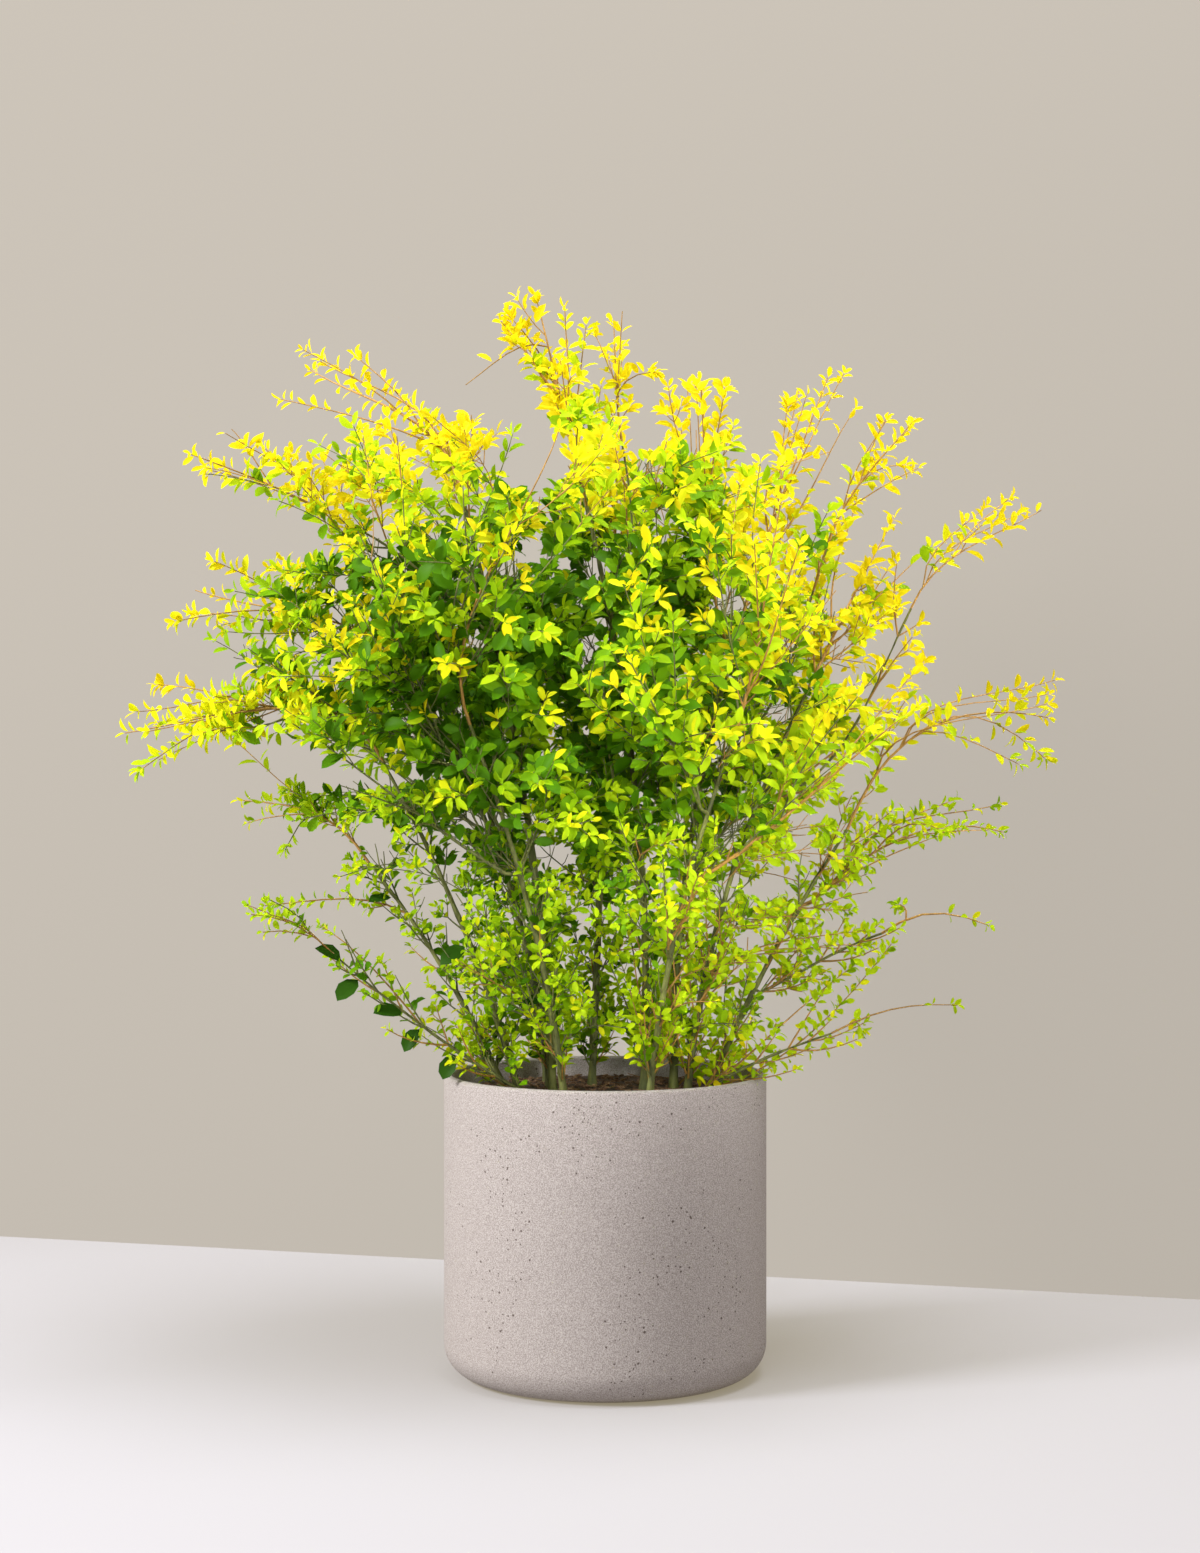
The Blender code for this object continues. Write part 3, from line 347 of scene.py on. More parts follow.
class Limb:
    """The path and radii of a stem, bough or twig, which others grow from."""

    def __init__(self, points, radii):
        self.points = points
        self.radii = radii
        self.marks = [0.0]
        for a, b in zip(points, points[1:]):
            self.marks.append(self.marks[-1] + (b - a).length)
        self.length = self.marks[-1]

    def at(self, share):
        """The point, the direction and the radius a share of the way along."""
        mark = min(1, max(0, share)) * self.length
        i = min(bisect_right(self.marks, mark), len(self.points) - 1) - 1
        a, b = self.points[i], self.points[i + 1]
        part = (mark - self.marks[i]) / (self.marks[i + 1] - self.marks[i])
        radius = self.radii[i] + (self.radii[i + 1] - self.radii[i]) * part
        return a.lerp(b, part), unit(b - a), radius

    def nodes(self, first, last, gap, draw):
        """Nodes about a gap apart, each with two opposite sides a quarter turn on from
        those of the node before: its share of the way, point, direction, radius and side."""
        count = max(1, round(self.length * (last - first) / gap))
        turn = draw.uniform(0, math.pi)
        for i in range(count):
            share = first + (last - first) * (i + draw.uniform(0.25, 0.75)) / count
            place, along, radius = self.at(share)
            side = Matrix.Rotation(turn + draw.uniform(-0.3, 0.3), 3, along) @ square_to(along, ACROSS)
            turn += math.pi / 2
            yield share, place, along, radius, side
            yield share, place, along, radius, -side

    def seat(self, share, goal):
        """Where a branch that heads for a point starts, and square to what."""
        middle, along, radius = self.at(share)
        if share >= 1:
            return middle, along
        side = square_to(along, Vector(goal) - middle)
        return middle + side * radius, side


def make_limbs():
    """The paths of all the stems and boughs."""
    limbs = {}
    for name, stem in STEMS.items():
        foot = Vector((*stem.foot, SOIL_TOP))
        count = steps_for(foot, stem.tip)
        points = bowed(foot, None, stem.tip, stem.bow, count)
        limbs[name] = Limb(points, taper(stem.girth, stem.girth * LIMB_TAPER, count))
    for name, bough in BOUGHS.items():
        stem = limbs[bough.off]
        place, way = stem.seat(bough.at, bough.tip)
        middle, along, radius = stem.at(bough.at)
        knuckle = place + way * BOUGH_KNUCKLE
        count = steps_for(knuckle, bough.tip)
        girth = min(bough.girth, radius * BOUGH_SHARE)
        points = [middle, place] + bowed(knuckle, way + along, bough.tip, bough.bow, count)
        radii = [girth, girth] + taper(girth, girth * BOUGH_TAPER, count)
        limbs[name] = Limb(points, radii)
    return limbs


def mass_stem(spec, limbs, girth, end_girth):
    """The stem of one mass, all the way to the furthest point that the mass reaches."""
    limb = limbs[spec.off]
    place, way = limb.seat(spec.at, spec.reach)
    middle, along, radius = limb.at(spec.at)
    knuckle = place + way * MASS_KNUCKLE
    leave = way if spec.at == 1 else way + along
    count = steps_for(knuckle, spec.reach)
    first = min(girth, radius * (0.98 if spec.at == 1 else BOUGH_SHARE))
    points = [middle, place] + bowed(knuckle, leave, spec.reach, (0, 0, spec.arch), count)
    if spec.at == 1:
        points = points[1:]
    return Limb(points, taper(first, end_girth, len(points)))


class Spaces:
    """The room that each mass keeps to: nearer to its own line, against its spread, than
    to any other mass's, and no further from it than its spread."""

    def __init__(self, stems, spreads):
        self.names = list(stems)
        starts, ends, owners = [], [], []
        for i, name in enumerate(self.names):
            line = stems[name].points
            knots = [line[round(k * (len(line) - 1) / 4)] for k in range(5)]
            for a, b in zip(knots, knots[1:]):
                starts.append(a)
                ends.append(b)
                owners.append(i)
        self.starts = np.array(starts)
        self.steps = np.array(ends) - self.starts
        self.owners = np.array(owners)
        self.spreads = np.array([spreads[name] for name in self.names])
        self.squares = (self.steps**2).sum(1)

    def inside(self, name, points, margin):
        """Which of the points lie in the mass's own room, give or take a margin, or in any
        mass's room, where no name is given."""
        offset = np.array(points)[:, None, :] - self.starts[None]
        along = np.clip((offset * self.steps).sum(2) / self.squares, 0, 1)
        gaps = np.linalg.norm(offset - self.steps * along[:, :, None], axis=2)
        shares = np.full((len(points), len(self.names)), np.inf)
        for i, owner in enumerate(self.owners):
            shares[:, owner] = np.minimum(shares[:, owner], gaps[:, i])
        shares /= self.spreads
        if name is None:
            return shares.min(1) <= 1 + margin
        own = self.names.index(name)
        mine = shares[:, own].copy()
        shares[:, own] = np.inf
        return (mine <= 1 + margin / 2) & (mine <= shares.min(1) + margin)


def in_box(points):
    """Which of the points lie within the model's box."""
    places = np.array(points)
    return ((places >= np.array(CAD_BOX[0])) & (places <= np.array(CAD_BOX[1]))).all(1)


def whip(start, way, length, pull, bend, sway, draw):
    """A path that leaves start along way, turns towards pull by bend, and sways a little."""
    count = max(3, round(length / PATH_STEP))
    step = length / count
    points = [start]
    for _ in range(count):
        jolt = Vector([draw.uniform(-sway, sway) for _ in range(3)])
        way = unit(way + pull * (bend / count) + jolt)
        points.append(points[-1] + way * step)
    return points


def cut_where(points, kept):
    """The path up to the first of its points that isn't kept."""
    for i, good in enumerate(kept):
        if not good:
            return points[:i]
    return points


def smooth(low, high, value):
    """A smooth rise from 0 at low to 1 at high."""
    t = min(1, max(0, (value - low) / (high - low)))
    return t * t * (3 - 2 * t)


def reach_at(place):
    """How far out in the crown a place is, from 0 on its middle line to 1 at its edge."""
    for low, high in zip(CROWN_EDGES, CROWN_EDGES[1:]):
        if place.z < high.height:
            break
    part = min(1, max(0, (place.z - low.height) / (high.height - low.height)))
    left = low.left + (high.left - low.left) * part
    right = low.right + (high.right - low.right) * part
    half = (right - left) / 2
    across = (place.x - (left + right) / 2) / half
    above = max(0, place.z - high.height) / half
    return math.sqrt(across**2 + (place.y / half / CROWN_DEPTH) ** 2 + above**2)


def fullness_at(place):
    """How full the growth is at a place: 1 inside the crown, 0 outside its edge, and
    thinner at the top and the upper right."""
    thin = 0.10 * smooth(0.95, 1.12, place.z) + 0.35 * smooth(1.14, 1.20, place.z)
    thin += 0.42 * smooth(0.02, 0.18, place.x) * smooth(0.88, 1.06, place.z)
    return (1 - smooth(0.80, 1.02, reach_at(place))) * (1 - thin)


def out_from(place):
    """The way that growth heads at a place: away from the crown's middle and upwards."""
    heart = Vector((CROWN_MIDDLE.x, 0, min(CROWN_MIDDLE.z, place.z - 0.10)))
    return unit(place - heart)


def seen_at(place):
    """Where a place appears in the plane y = 0, seen from the front."""
    seen = EYE + (place - EYE) * (EYE.y / (EYE.y - place.y))
    return Vector((seen.x, 0, seen.z))


def in_opening(place):
    """Whether a place lies in one of the gaps that show what is behind the plant, which
    narrow towards the point that they are seen from."""
    seen = seen_at(place)
    return any(math.hypot(seen.x - gap.x, seen.z - gap.z) < gap.radius for gap in OPENINGS)


def in_speck(place, size, share):
    """Whether a place lies in one of the small gaps between sprays that show the sky, more
    of them at the right and between the stems."""
    side = 0.03 * smooth(0.02, 0.14, place.x) + 0.06 * smooth(0.76, 0.66, place.z)
    return noise.noise(seen_at(place) / size) > share - side


def tint_at(place):
    """How golden the foliage is at a place, from 0, deep green, to 1, gold: green about
    a middle that is low and left of the crown's, gold at the top and the sides, and lime
    near the ground, which is partly the low leaves' own colour and partly painted light
    that lifts the shaded lower crown."""
    x, y, z = place - GREEN_MIDDLE
    across = x / (0.58 if x > 0 else 0.54)
    rise = z / (0.236 if z > 0 else 1.0)
    reach = math.sqrt(across**2 + (y / 0.9) ** 2 + rise**2)
    # The rise below 0.74 m is partly the low leaves' lime colour and partly painted light on the shaded lower crown.
    return 0.06 + 0.94 * smooth(0.22, 1.00, reach) + 0.15 * smooth(0.74, 0.54, place.z)


def tint_limit(height):
    """The most golden that a leaf gets at a height: yellow-green low down."""
    return 0.59 + 0.76 * smooth(0.66, 1.00, height)


class Grower:
    """Grows all the foliage and keeps its twigs and leaves."""

    def __init__(self, settings, limbs):
        self.settings = settings
        self.limbs = limbs
        self.twigs = []
        self.leaves = []
        self.stems = {
            name: mass_stem(spec, limbs, settings.mass_girth, settings.end_girth)
            for name, spec in MASSES.items()
        }
        self.spaces = Spaces(self.stems, {name: spec.spread for name, spec in MASSES.items()})
        self.bark = limb_tree(limbs)
        self.shown = self.shown_limbs()

    def shown_limbs(self):
        """The points of the nearer limbs as seen from the front, each with its depth."""
        points = [point for limb in self.limbs.values() for point in limb.points if point.y < SHOWN_DEPTH]
        tree = KDTree(len(points))
        for i, point in enumerate(points):
            tree.insert(seen_at(point), i)
        tree.balance()
        return tree, [point.y for point in points]

    def hides_limb(self, place):
        """Whether a place lies right in front of a limb."""
        tree, depths = self.shown
        return any(depths[i] > place.y for _, i, _ in tree.find_range(seen_at(place), SHOWN_WIDTH))

    def jitter(self, draw, size):
        """A small random vector."""
        return Vector([draw.uniform(-size, size) for _ in range(3)])

    def spray_tint(self, place, draw):
        """The tint of a whole spray, some of them old and darker."""
        tint = tint_at(place) + draw.gauss(0, self.settings.spray_tint)
        if draw.random() < self.settings.old_sprays:
            return tint - 0.30
        return tint

    def leaf_size(self, place, draw):
        """How long a leaf is at a place: long ones high up, small ones near the ground."""
        small = smooth(0.74, 0.56, place.z)
        share = (1 - small) + small * self.settings.low_leaf_share
        share *= 0.92 + 0.08 * fullness_at(place)
        return self.settings.leaf_length * share * draw.uniform(0.72, 1.2)

    def leaf(self, place, way, along, length, tint, draw):
        """Adds one leaf, unless it would touch a limb."""
        out = Vector((place.x, place.y, 0)) * 1.5
        face = LIGHT_WAY + out + along * 0.3 + self.jitter(draw, 0.8)
        face = square_to(way, face)
        middle = place + way * length * 0.5
        near = self.bark.find_nearest(middle, STEM_LEAVES)[3]
        if near is None and in_opening(middle) or near is not None and near < length * 0.12:
            return
        if draw.random() < self.settings.shown_limbs and self.hides_limb(middle):
            return
        if place.z > CROWN_FOOT and in_speck(middle, self.settings.speck_size, self.settings.speck_level):
            return
        broad = 0.10 * smooth(0.66, 0.50, place.z) + 0.14 * smooth(0.45, 0.10, tint)
        length *= 1 + 0.15 * smooth(0.35, 0.05, tint)
        width = length * (draw.uniform(0.35, 0.45) + broad)
        tint = min(tint, tint_limit(place.z) + draw.gauss(0, 0.08))
        self.leaves.append(Leaf(place, way, face, length, width, tint))

    def pairs(self, twig, first, last, tint, tip_size, draw):
        """Opposite pairs of leaves along a twig, smaller and more upright towards the tip,
        where they end in a small star. Some have a smaller leaf in their axil. Near the
        crown's surface the outer half of some twigs is young, and much paler."""
        chance = self.settings.young_twigs * smooth(0.4, 0.75, reach_at(twig.points[-1]))
        lift = 0.50 * smooth(0.90, 0.35, tint) if draw.random() < chance else 0
        gap = self.settings.pair_gap * (1 - 0.3 * smooth(0.70, 0.56, twig.points[0].z))
        for share, place, along, radius, side in twig.nodes(first, last, gap, draw):
            low = smooth(0.64, 0.56, place.z) * smooth(0.42, 0.48, place.z) * smooth(0.28, 0.20, abs(place.x))
            low *= 1 + smooth(0.03, 0.10, place.x)
            if draw.random() < self.settings.leaf_missing + self.settings.low_missing * low:
                continue
            young = smooth(0.5, 1.0, share)
            size = self.leaf_size(place, draw) * (1 - (1 - tip_size) * young)
            shift = self.settings.tip_tint * (share - 0.60) * (1.15 - tint if share > 0.60 else 0.8)
            shift += lift * smooth(0.25, 0.60, share)
            leaf_tint = tint + shift + draw.gauss(0, self.settings.leaf_tint)
            opening = math.radians(66 - 26 * young)
            way = along * math.cos(opening) + side * math.sin(opening)
            way = unit(way + UP * 0.25 + self.jitter(draw, 0.25))
            self.leaf(place + way * radius * 0.5, way, along, size, leaf_tint, draw)
            if draw.random() < self.settings.axil_leaves:
                way = unit(along + side * 0.5 + self.jitter(draw, 0.45))
                small = size * draw.uniform(0.5, 0.75)
                self.leaf(place + way * radius * 0.5, way, along, small, leaf_tint + 0.10, draw)
        self.rosette(twig, tint + lift + self.settings.tip_tint * 0.4 * (1.15 - tint), tip_size, draw)

    def rosette(self, twig, tint, size, draw):
        """Two crowded pairs of leaves around the tip of a twig, each pair more upright
        and smaller than the one below it."""
        tip, along, _ = twig.at(1)
        turn = draw.uniform(0, math.pi)
        for i in range(2):
            opening = math.radians(58 - 26 * i)
            place = tip - along * self.settings.rosette_gap * (1 - i)
            for half in (0, math.pi):
                turned = Matrix.Rotation(turn + half + i * math.pi / 2, 3, along)
                side = turned @ square_to(along, ACROSS)
                way = unit(along * math.cos(opening) + side * math.sin(opening) + self.jitter(draw, 0.15))
                length = self.leaf_size(place, draw) * size * (1 - 0.2 * i)
                self.leaf(place, way, along, length, tint + draw.gauss(0, 0.05), draw)

    def twig(self, points, girth, end_girth, tint):
        """Adds a twig."""
        made = Limb(points, taper(girth, end_girth, len(points)))
        self.twigs.append(Twig(made.points, made.radii, tint))
        return made

    def keep_in(self, name, points, margin):
        """The part of a path that stays in a mass's room, or in any, and in the box, and
        out of the gaps. Low growth only keeps to the box."""
        kept = in_box(points)
        if name == LOW:
            return cut_where(points, kept)
        kept &= self.spaces.inside(name, points, margin)
        return cut_where(points, [good and not in_opening(point) for good, point in zip(kept, points)])

    def side_twigs(self, shoot, name, length, last, tint, draw):
        """Short leafy twigs in pairs along a shoot, shorter towards its tip."""
        small = self.settings.end_girth
        gap = self.settings.twiglet_gap
        for share, place, along, radius, side in shoot.nodes(0.10, last, gap, draw):
            way = unit(along * 0.8 + side + UP * 0.2)
            long = length * (1.1 - 0.7 * share) * draw.uniform(0.55, 1.2)
            long *= 0.12 + 0.88 * fullness_at(place)
            if long < 2 * PATH_STEP:
                continue
            points = whip(place, way, long, UP * 0.5 + along * 0.6, 0.5, 0.05, draw)
            points = self.keep_in(name, points, 0.25)
            if len(points) < 3:
                continue
            twig = self.twig(points, max(small, radius * 0.6), small, tint)
            self.pairs(twig, 0.2, 0.8, tint + draw.gauss(0, 0.06), 0.85, draw)

    def spray(self, name, start, length, pull, side_length, draw):
        """A shoot that leaves a limb at a start, bends to pull and stays in the room that
        is named, with side twigs and leaves on it."""
        _, place, along, radius, side = start
        way = unit(along * self.settings.forward + side)
        points = whip(place, way, length, pull, 0.75, 0.03, draw)
        points = self.keep_in(name, points, 0.12)
        if len(points) < 4:
            return
        tint = self.spray_tint(points[-1], draw)
        girth = min(self.settings.shoot_girth, radius * 0.8)
        shoot = self.twig(points, girth, self.settings.end_girth, tint)
        self.side_twigs(shoot, name, side_length, 0.78, tint, draw)
        self.pairs(shoot, 0.2, 0.92, tint, 0.8, draw)

    def mass(self, name):
        """One mass: its stem, and sprays in pairs all along the stem, which run out to the
        edge of its room and get slimmer towards the crown's outside."""
        draw = random.Random(name)
        spec = MASSES[name]
        stem = self.stems[name]
        reach = Vector(spec.reach)
        tint = tint_at(reach)
        self.twigs.append(Twig(stem.points, stem.radii, tint))
        for _ in range(0 if spec.bare else self.settings.runners):
            self.runner(name, stem, draw)
        for start in stem.nodes(0.02 + spec.bare, 0.93, self.settings.shoot_gap, draw):
            _, place, along, _, side = start
            goal = place + unit(along * self.settings.forward + side) * spec.spread * 0.7
            full = max(fullness_at(goal), spec.bushy)
            if draw.random() > full * (0.5 + 0.5 * smooth(0.1, 0.5, reach_at(goal))):
                continue
            length = spec.spread * (0.25 + 1.0 * full) * draw.uniform(0.7, 1.2)
            pull = along * 0.6 + out_from(place + along * 0.1) * 0.4 + UP * 0.15
            self.spray(name, start, length, pull, self.settings.side_length, draw)
        self.side_twigs(stem, name, self.settings.side_length * 0.6, 0.85, tint, draw)
        self.pairs(stem, 0.2 + spec.bare, 0.985, tint, 0.75, draw)

    def runner(self, name, stem, draw):
        """A slender shoot that runs out beside a mass's stem and ends near its tip."""
        share = draw.uniform(0.10, 0.50)
        place, along, radius = stem.at(share)
        beside = Matrix.Rotation(draw.uniform(0, math.tau), 3, along) @ square_to(along, ACROSS)
        goal, ahead, _ = stem.at(draw.uniform(0.72, 1.0))
        goal = goal + square_to(ahead, beside) * MASSES[name].spread * draw.uniform(0.2, 0.5)
        points = bowed(place, along + beside * 0.7, goal, (0, 0, 0.004), steps_for(place, goal))
        points = self.keep_in(name, points, 0.1)
        if len(points) < 5:
            return
        tint = self.spray_tint(points[-1], draw)
        shoot = self.twig(points, min(self.settings.shoot_girth, radius * 0.8), self.settings.end_girth, tint)
        self.side_twigs(shoot, name, self.settings.side_length * 0.4, 0.6, tint, draw)
        self.pairs(shoot, 0.15, 0.96, tint, 0.75, draw)

    def whip(self, spec):
        """A long slender shoot that ends in a tip of the crown's outline."""
        draw = random.Random(str(spec.tip))
        tip = Vector(spec.tip)
        home = self.stems.get(spec.off) or self.limbs[spec.off]
        place, along, radius = home.at(spec.at)
        count = steps_for(place, tip)
        points = bowed(place, along * 0.6 + unit(tip - place), tip, (0, 0, spec.arch), count)
        tint = tint_at(tip) + draw.gauss(0, 0.05)
        shoot = self.twig(points, min(self.settings.shoot_girth, radius), self.settings.end_girth, tint)
        self.side_twigs(shoot, None, self.settings.side_length * 0.5, 0.6, tint, draw)
        self.pairs(shoot, 0.15, 0.97, tint, 0.8, draw)
        self.pairs(shoot, 0.60, 0.97, tint, 0.8, draw)

    def crown_shoots(self, name):
        """Leafy shoots on the part of a limb that is in the crown."""
        draw = random.Random("crown " + name)
        limb = self.limbs[name]
        for start in limb.nodes(0.03, 0.97, self.settings.fill_gap, draw):
            _, place, _, _, side = start
            if place.z < CROWN_FOOT:
                continue
            full = fullness_at(place + side * 0.08)
            length = draw.uniform(0.05, 0.13) * (0.3 + 0.7 * full)
            pull = out_from(place + side * 0.1) * 0.5 + UP * 0.3
            self.spray(None, start, length, pull, self.settings.side_length, draw)

    def low_shoots(self, name):
        """Thin, small-leaved side shoots on a stem, from near the soil to the crown."""
        draw = random.Random("low " + name)
        stem = self.limbs[name]
        starts = list(stem.nodes(0.02, 0.95, self.settings.low_gap, draw))
        starts += stem.nodes(0.01, 0.24, self.settings.low_gap, draw)
        for start in starts:
            _, place, _, _, side = start
            if place.z > CROWN_FOOT + 0.04:
                continue
            length = draw.uniform(0.03, 0.09)
            pull = UP * 0.6 + out_from(place) * 0.4
            self.spray(LOW, start, length, pull, self.settings.side_length * 0.6, draw)

    def old_leaf(self, spec):
        """One large, dark leaf that is left low on a stem."""
        draw = random.Random(str(spec.way))
        place, along, radius = self.limbs[spec.stem].at(spec.at)
        way = unit(Vector(spec.way))
        length = self.settings.old_leaf_length * draw.uniform(0.85, 1.1)
        face = square_to(way, UP + Vector((0, -0.9, 0)) + self.jitter(draw, 0.3))
        stalk = place + square_to(along, way) * radius
        self.leaves.append(Leaf(stalk, way, face, length, length * 0.62, OLD_TINT))

    def barest(self, place, reach):
        """Below which noise a place stays bare: rarely inside the crown, more often at the
        top, and seldom at the low sides."""
        top = 0.08 * smooth(0.90, 1.05, place.z)
        low = smooth(CROWN_FOOT + 0.10, CROWN_FOOT, place.z)
        middle = smooth(0.26, 0.18, abs(place.x))
        inside = 0.5 * smooth(0.72, 0.55, reach) * (1 - low)
        middle *= smooth(0.40, 0.46, place.z)
        return self.settings.bare_patches + top + low * (0.12 * middle - 0.12) - inside

    def fill(self):
        """Leafy shoots into the parts of the crown that are still bare, each from the
        nearest twig on its inner side."""
        draw = random.Random("fill")
        gap = self.settings.bare_gap
        homes = self.twigs + [Twig(limb.points, limb.radii, 0) for limb in self.limbs.values()]
        starts = [(point, twig, i) for twig in homes for i, point in enumerate(twig.points[:-2])]
        near = KDTree(len(starts))
        for i, (point, _, _) in enumerate(starts):
            near.insert(point, i)
        near.balance()
        taken = {cell_of(point, gap) for twig in self.twigs for point in twig.points}
        low, high = cell_of(CAD_BOX[0], gap), cell_of(CAD_BOX[1], gap)
        cells = [
            (i, j, k)
            for i in range(low[0], high[0] + 1)
            for j in range(low[1], high[1] + 1)
            for k in range(low[2], high[2] + 1)
        ]
        draw.shuffle(cells)
        for cell in cells:
            goal = (Vector(cell) + Vector([draw.random() for _ in range(3)])) * gap
            if cell in taken or goal.z < LOWEST_LEAVES or in_opening(goal):
                continue
            patch = noise.noise(goal * self.settings.patches)
            reach = reach_at(goal)
            if patch < self.barest(goal, reach) or not 0.2 < reach < 0.92 + 0.2 * patch:
                continue
            place, index, _ = near.find(goal - out_from(goal) * gap * 1.5)
            _, twig, i = starts[index]
            along = unit(twig.points[i + 1] - twig.points[i])
            points = bowed(place, along + unit(goal - place), goal, (0, 0, 0.004), steps_for(place, goal))
            taken.update(cell_of(point, gap) for point in points)
            blocked = any(in_opening(point) for point in points)
            if blocked or len(points) > self.settings.longest_fill / PATH_STEP:
                continue
            tint = self.spray_tint(goal, draw)
            girth = min(self.settings.shoot_girth, twig.radii[i])
            shoot = self.twig(points, girth, self.settings.end_girth, tint)
            self.side_twigs(shoot, None, self.settings.side_length * 0.7, 0.8, tint, draw)
            self.pairs(shoot, 0.25, 0.92, tint, 0.85, draw)

    def grow(self):
        """Grows everything, in the order of the tables."""
        for name in MASSES:
            self.mass(name)
        for spec in WHIPS:
            self.whip(spec)
        for name in self.limbs:
            self.crown_shoots(name)
            self.low_shoots(name)
        self.fill()
        for spec in OLD_LEAVES:
            self.old_leaf(spec)


def cell_of(point, size):
    """Which cell of an even grid a point lies in."""
    return tuple(math.floor(value / size) for value in point)


def limb_tree(limbs):
    """A search tree of all the limbs' surfaces."""
    points, faces = [], []
    for limb in limbs.values():
        ring, quads = tube_arrays(limb.points, limb.radii, 6)
        faces += (quads + len(points)).tolist()
        points += ring.tolist()
    return BVHTree.FromPolygons(points, faces)


def tube_arrays(points, radii, sides):
    """The points and quads of an open tube."""
    path = np.array(points)
    ahead = np.gradient(path, axis=0)
    ahead /= np.linalg.norm(ahead, axis=1)[:, None]
    mean = ahead.mean(0)
    axis = np.eye(3)[np.argmin(np.abs(mean))]
    across = np.cross(ahead, axis)
    across /= np.linalg.norm(across, axis=1)[:, None]
    other = np.cross(ahead, across)
    turns = np.arange(sides) * math.tau / sides
    ring = across[:, None] * np.cos(turns)[None, :, None] + other[:, None] * np.sin(turns)[None, :, None]
    places = path[:, None] + ring * np.array(radii)[:, None, None]
    count = len(path)
    low = (np.arange(count - 1)[:, None] * sides + np.arange(sides)[None]).ravel()
    turned = (np.arange(count - 1)[:, None] * sides + (np.arange(sides)[None] + 1) % sides).ravel()
    quads = np.stack([low, low + sides, turned + sides, turned], axis=1)
    return places.reshape(-1, 3), quads


def mesh_from(name, points, faces):
    """A mesh made of an array of points and one of faces that all have the same corners."""
    mesh = bpy.data.meshes.new(name)
    mesh.vertices.add(len(points))
    mesh.vertices.foreach_set("co", np.asarray(points, np.float32).ravel())
    mesh.loops.add(faces.size)
    mesh.loops.foreach_set("vertex_index", np.asarray(faces, np.int32).ravel())
    mesh.polygons.add(len(faces))
    mesh.polygons.foreach_set("loop_start", np.arange(len(faces), dtype=np.int32) * faces.shape[1])
    mesh.update(calc_edges=True)
    mesh.validate()
    mesh.shade_smooth()
    return mesh


def quarter(centre, radius, start, end, steps):
    """Points on an arc of a profile, from one angle to another, in degrees."""
    turns = [math.radians(start + (end - start) * i / steps) for i in range(steps + 1)]
    return [(centre[0] + radius * math.cos(t), centre[1] + radius * math.sin(t)) for t in turns]


def pot_profile():
    """The planter's section, from the middle of its inner floor, over the rim, to the
    middle of its underside."""
    inner = POT_RADIUS - POT_WALL
    inner_round = POT_FOOT_ROUND - POT_WALL
    rim_low = POT_HEIGHT - POT_RIM_ROUND
    profile = [(0, POT_FLOOR)]
    profile += quarter((inner - inner_round, POT_FLOOR + inner_round), inner_round, -90, 0, 8)
    profile += quarter((inner + POT_RIM_ROUND, rim_low), POT_RIM_ROUND, 180, 90, 6)
    profile += quarter((POT_RADIUS - POT_RIM_ROUND, rim_low), POT_RIM_ROUND, 90, 0, 6)
    profile += quarter((POT_RADIUS - POT_FOOT_ROUND, POT_FOOT_ROUND), POT_FOOT_ROUND, 0, -90, 14)
    return profile + [(0, 0)]


def turned_mesh(name, profile, sides):
    """A closed profile turned about the Z axis. Long straight stretches are split up."""
    fine = []
    for (r0, z0), (r1, z1) in zip(profile, profile[1:]):
        parts = max(1, round(math.hypot(r1 - r0, z1 - z0) / 0.02))
        fine += [(r0 + (r1 - r0) * k / parts, z0 + (z1 - z0) * k / parts) for k in range(parts)]
    fine.append(profile[-1])
    made = bmesh.new()
    rows = []
    for radius, height in fine:
        if radius == 0:
            rows.append([made.verts.new((0, 0, height))] * sides)
            continue
        turns = [math.tau * k / sides for k in range(sides)]
        rows.append([made.verts.new((radius * math.cos(t), radius * math.sin(t), height)) for t in turns])
    for low, high in zip(rows, rows[1:]):
        for k in range(sides):
            corners = [low[k], low[(k + 1) % sides], high[(k + 1) % sides], high[k]]
            made.faces.new(list(dict.fromkeys(corners)))
    mesh = bpy.data.meshes.new(name)
    made.to_mesh(mesh)
    made.free()
    mesh.shade_smooth()
    return mesh


def chips_mesh(name, settings):
    """Bark chips and bits of twig that lie flat on the soil, every which way."""
    draw = random.Random("chips")
    corners = np.array([(x, y, z) for x in (-1, 1) for y in (-1, 1) for z in (-1, 1)], float)
    box = np.array([(0, 1, 3, 2), (4, 6, 7, 5), (0, 4, 5, 1), (2, 3, 7, 6), (0, 2, 6, 4), (1, 5, 7, 3)])
    points, faces = [], []
    for i in range(settings.chips):
        twig = draw.random() < 0.35
        long = draw.uniform(0.010, 0.026) if twig else draw.uniform(0.005, 0.014)
        wide = draw.uniform(0.0012, 0.002) if twig else long * draw.uniform(0.35, 0.7)
        thick = draw.uniform(0.0010, 0.0022)
        turn = draw.uniform(0, math.tau)
        far = (SOIL_RADIUS - 0.016) * math.sqrt(draw.random())
        spot = draw.uniform(0, math.tau)
        place = Vector((far * math.cos(spot), far * math.sin(spot), SOIL_TOP + 0.001 + draw.uniform(0, 0.004)))
        tilt = Matrix.Rotation(turn, 3, UP) @ Matrix.Rotation(draw.uniform(-0.35, 0.35), 3, "Y")
        wedge = np.array([draw.uniform(0.65, 1.0) for _ in corners])
        sized = corners * np.array((long, wide, thick)) / 2 * wedge[:, None]
        points.append(sized @ np.array(tilt).T + np.array(place))
        faces.append(box + 8 * i)
    mesh = mesh_from(name, np.concatenate(points), np.concatenate(faces))
    mesh.shade_flat()
    return mesh


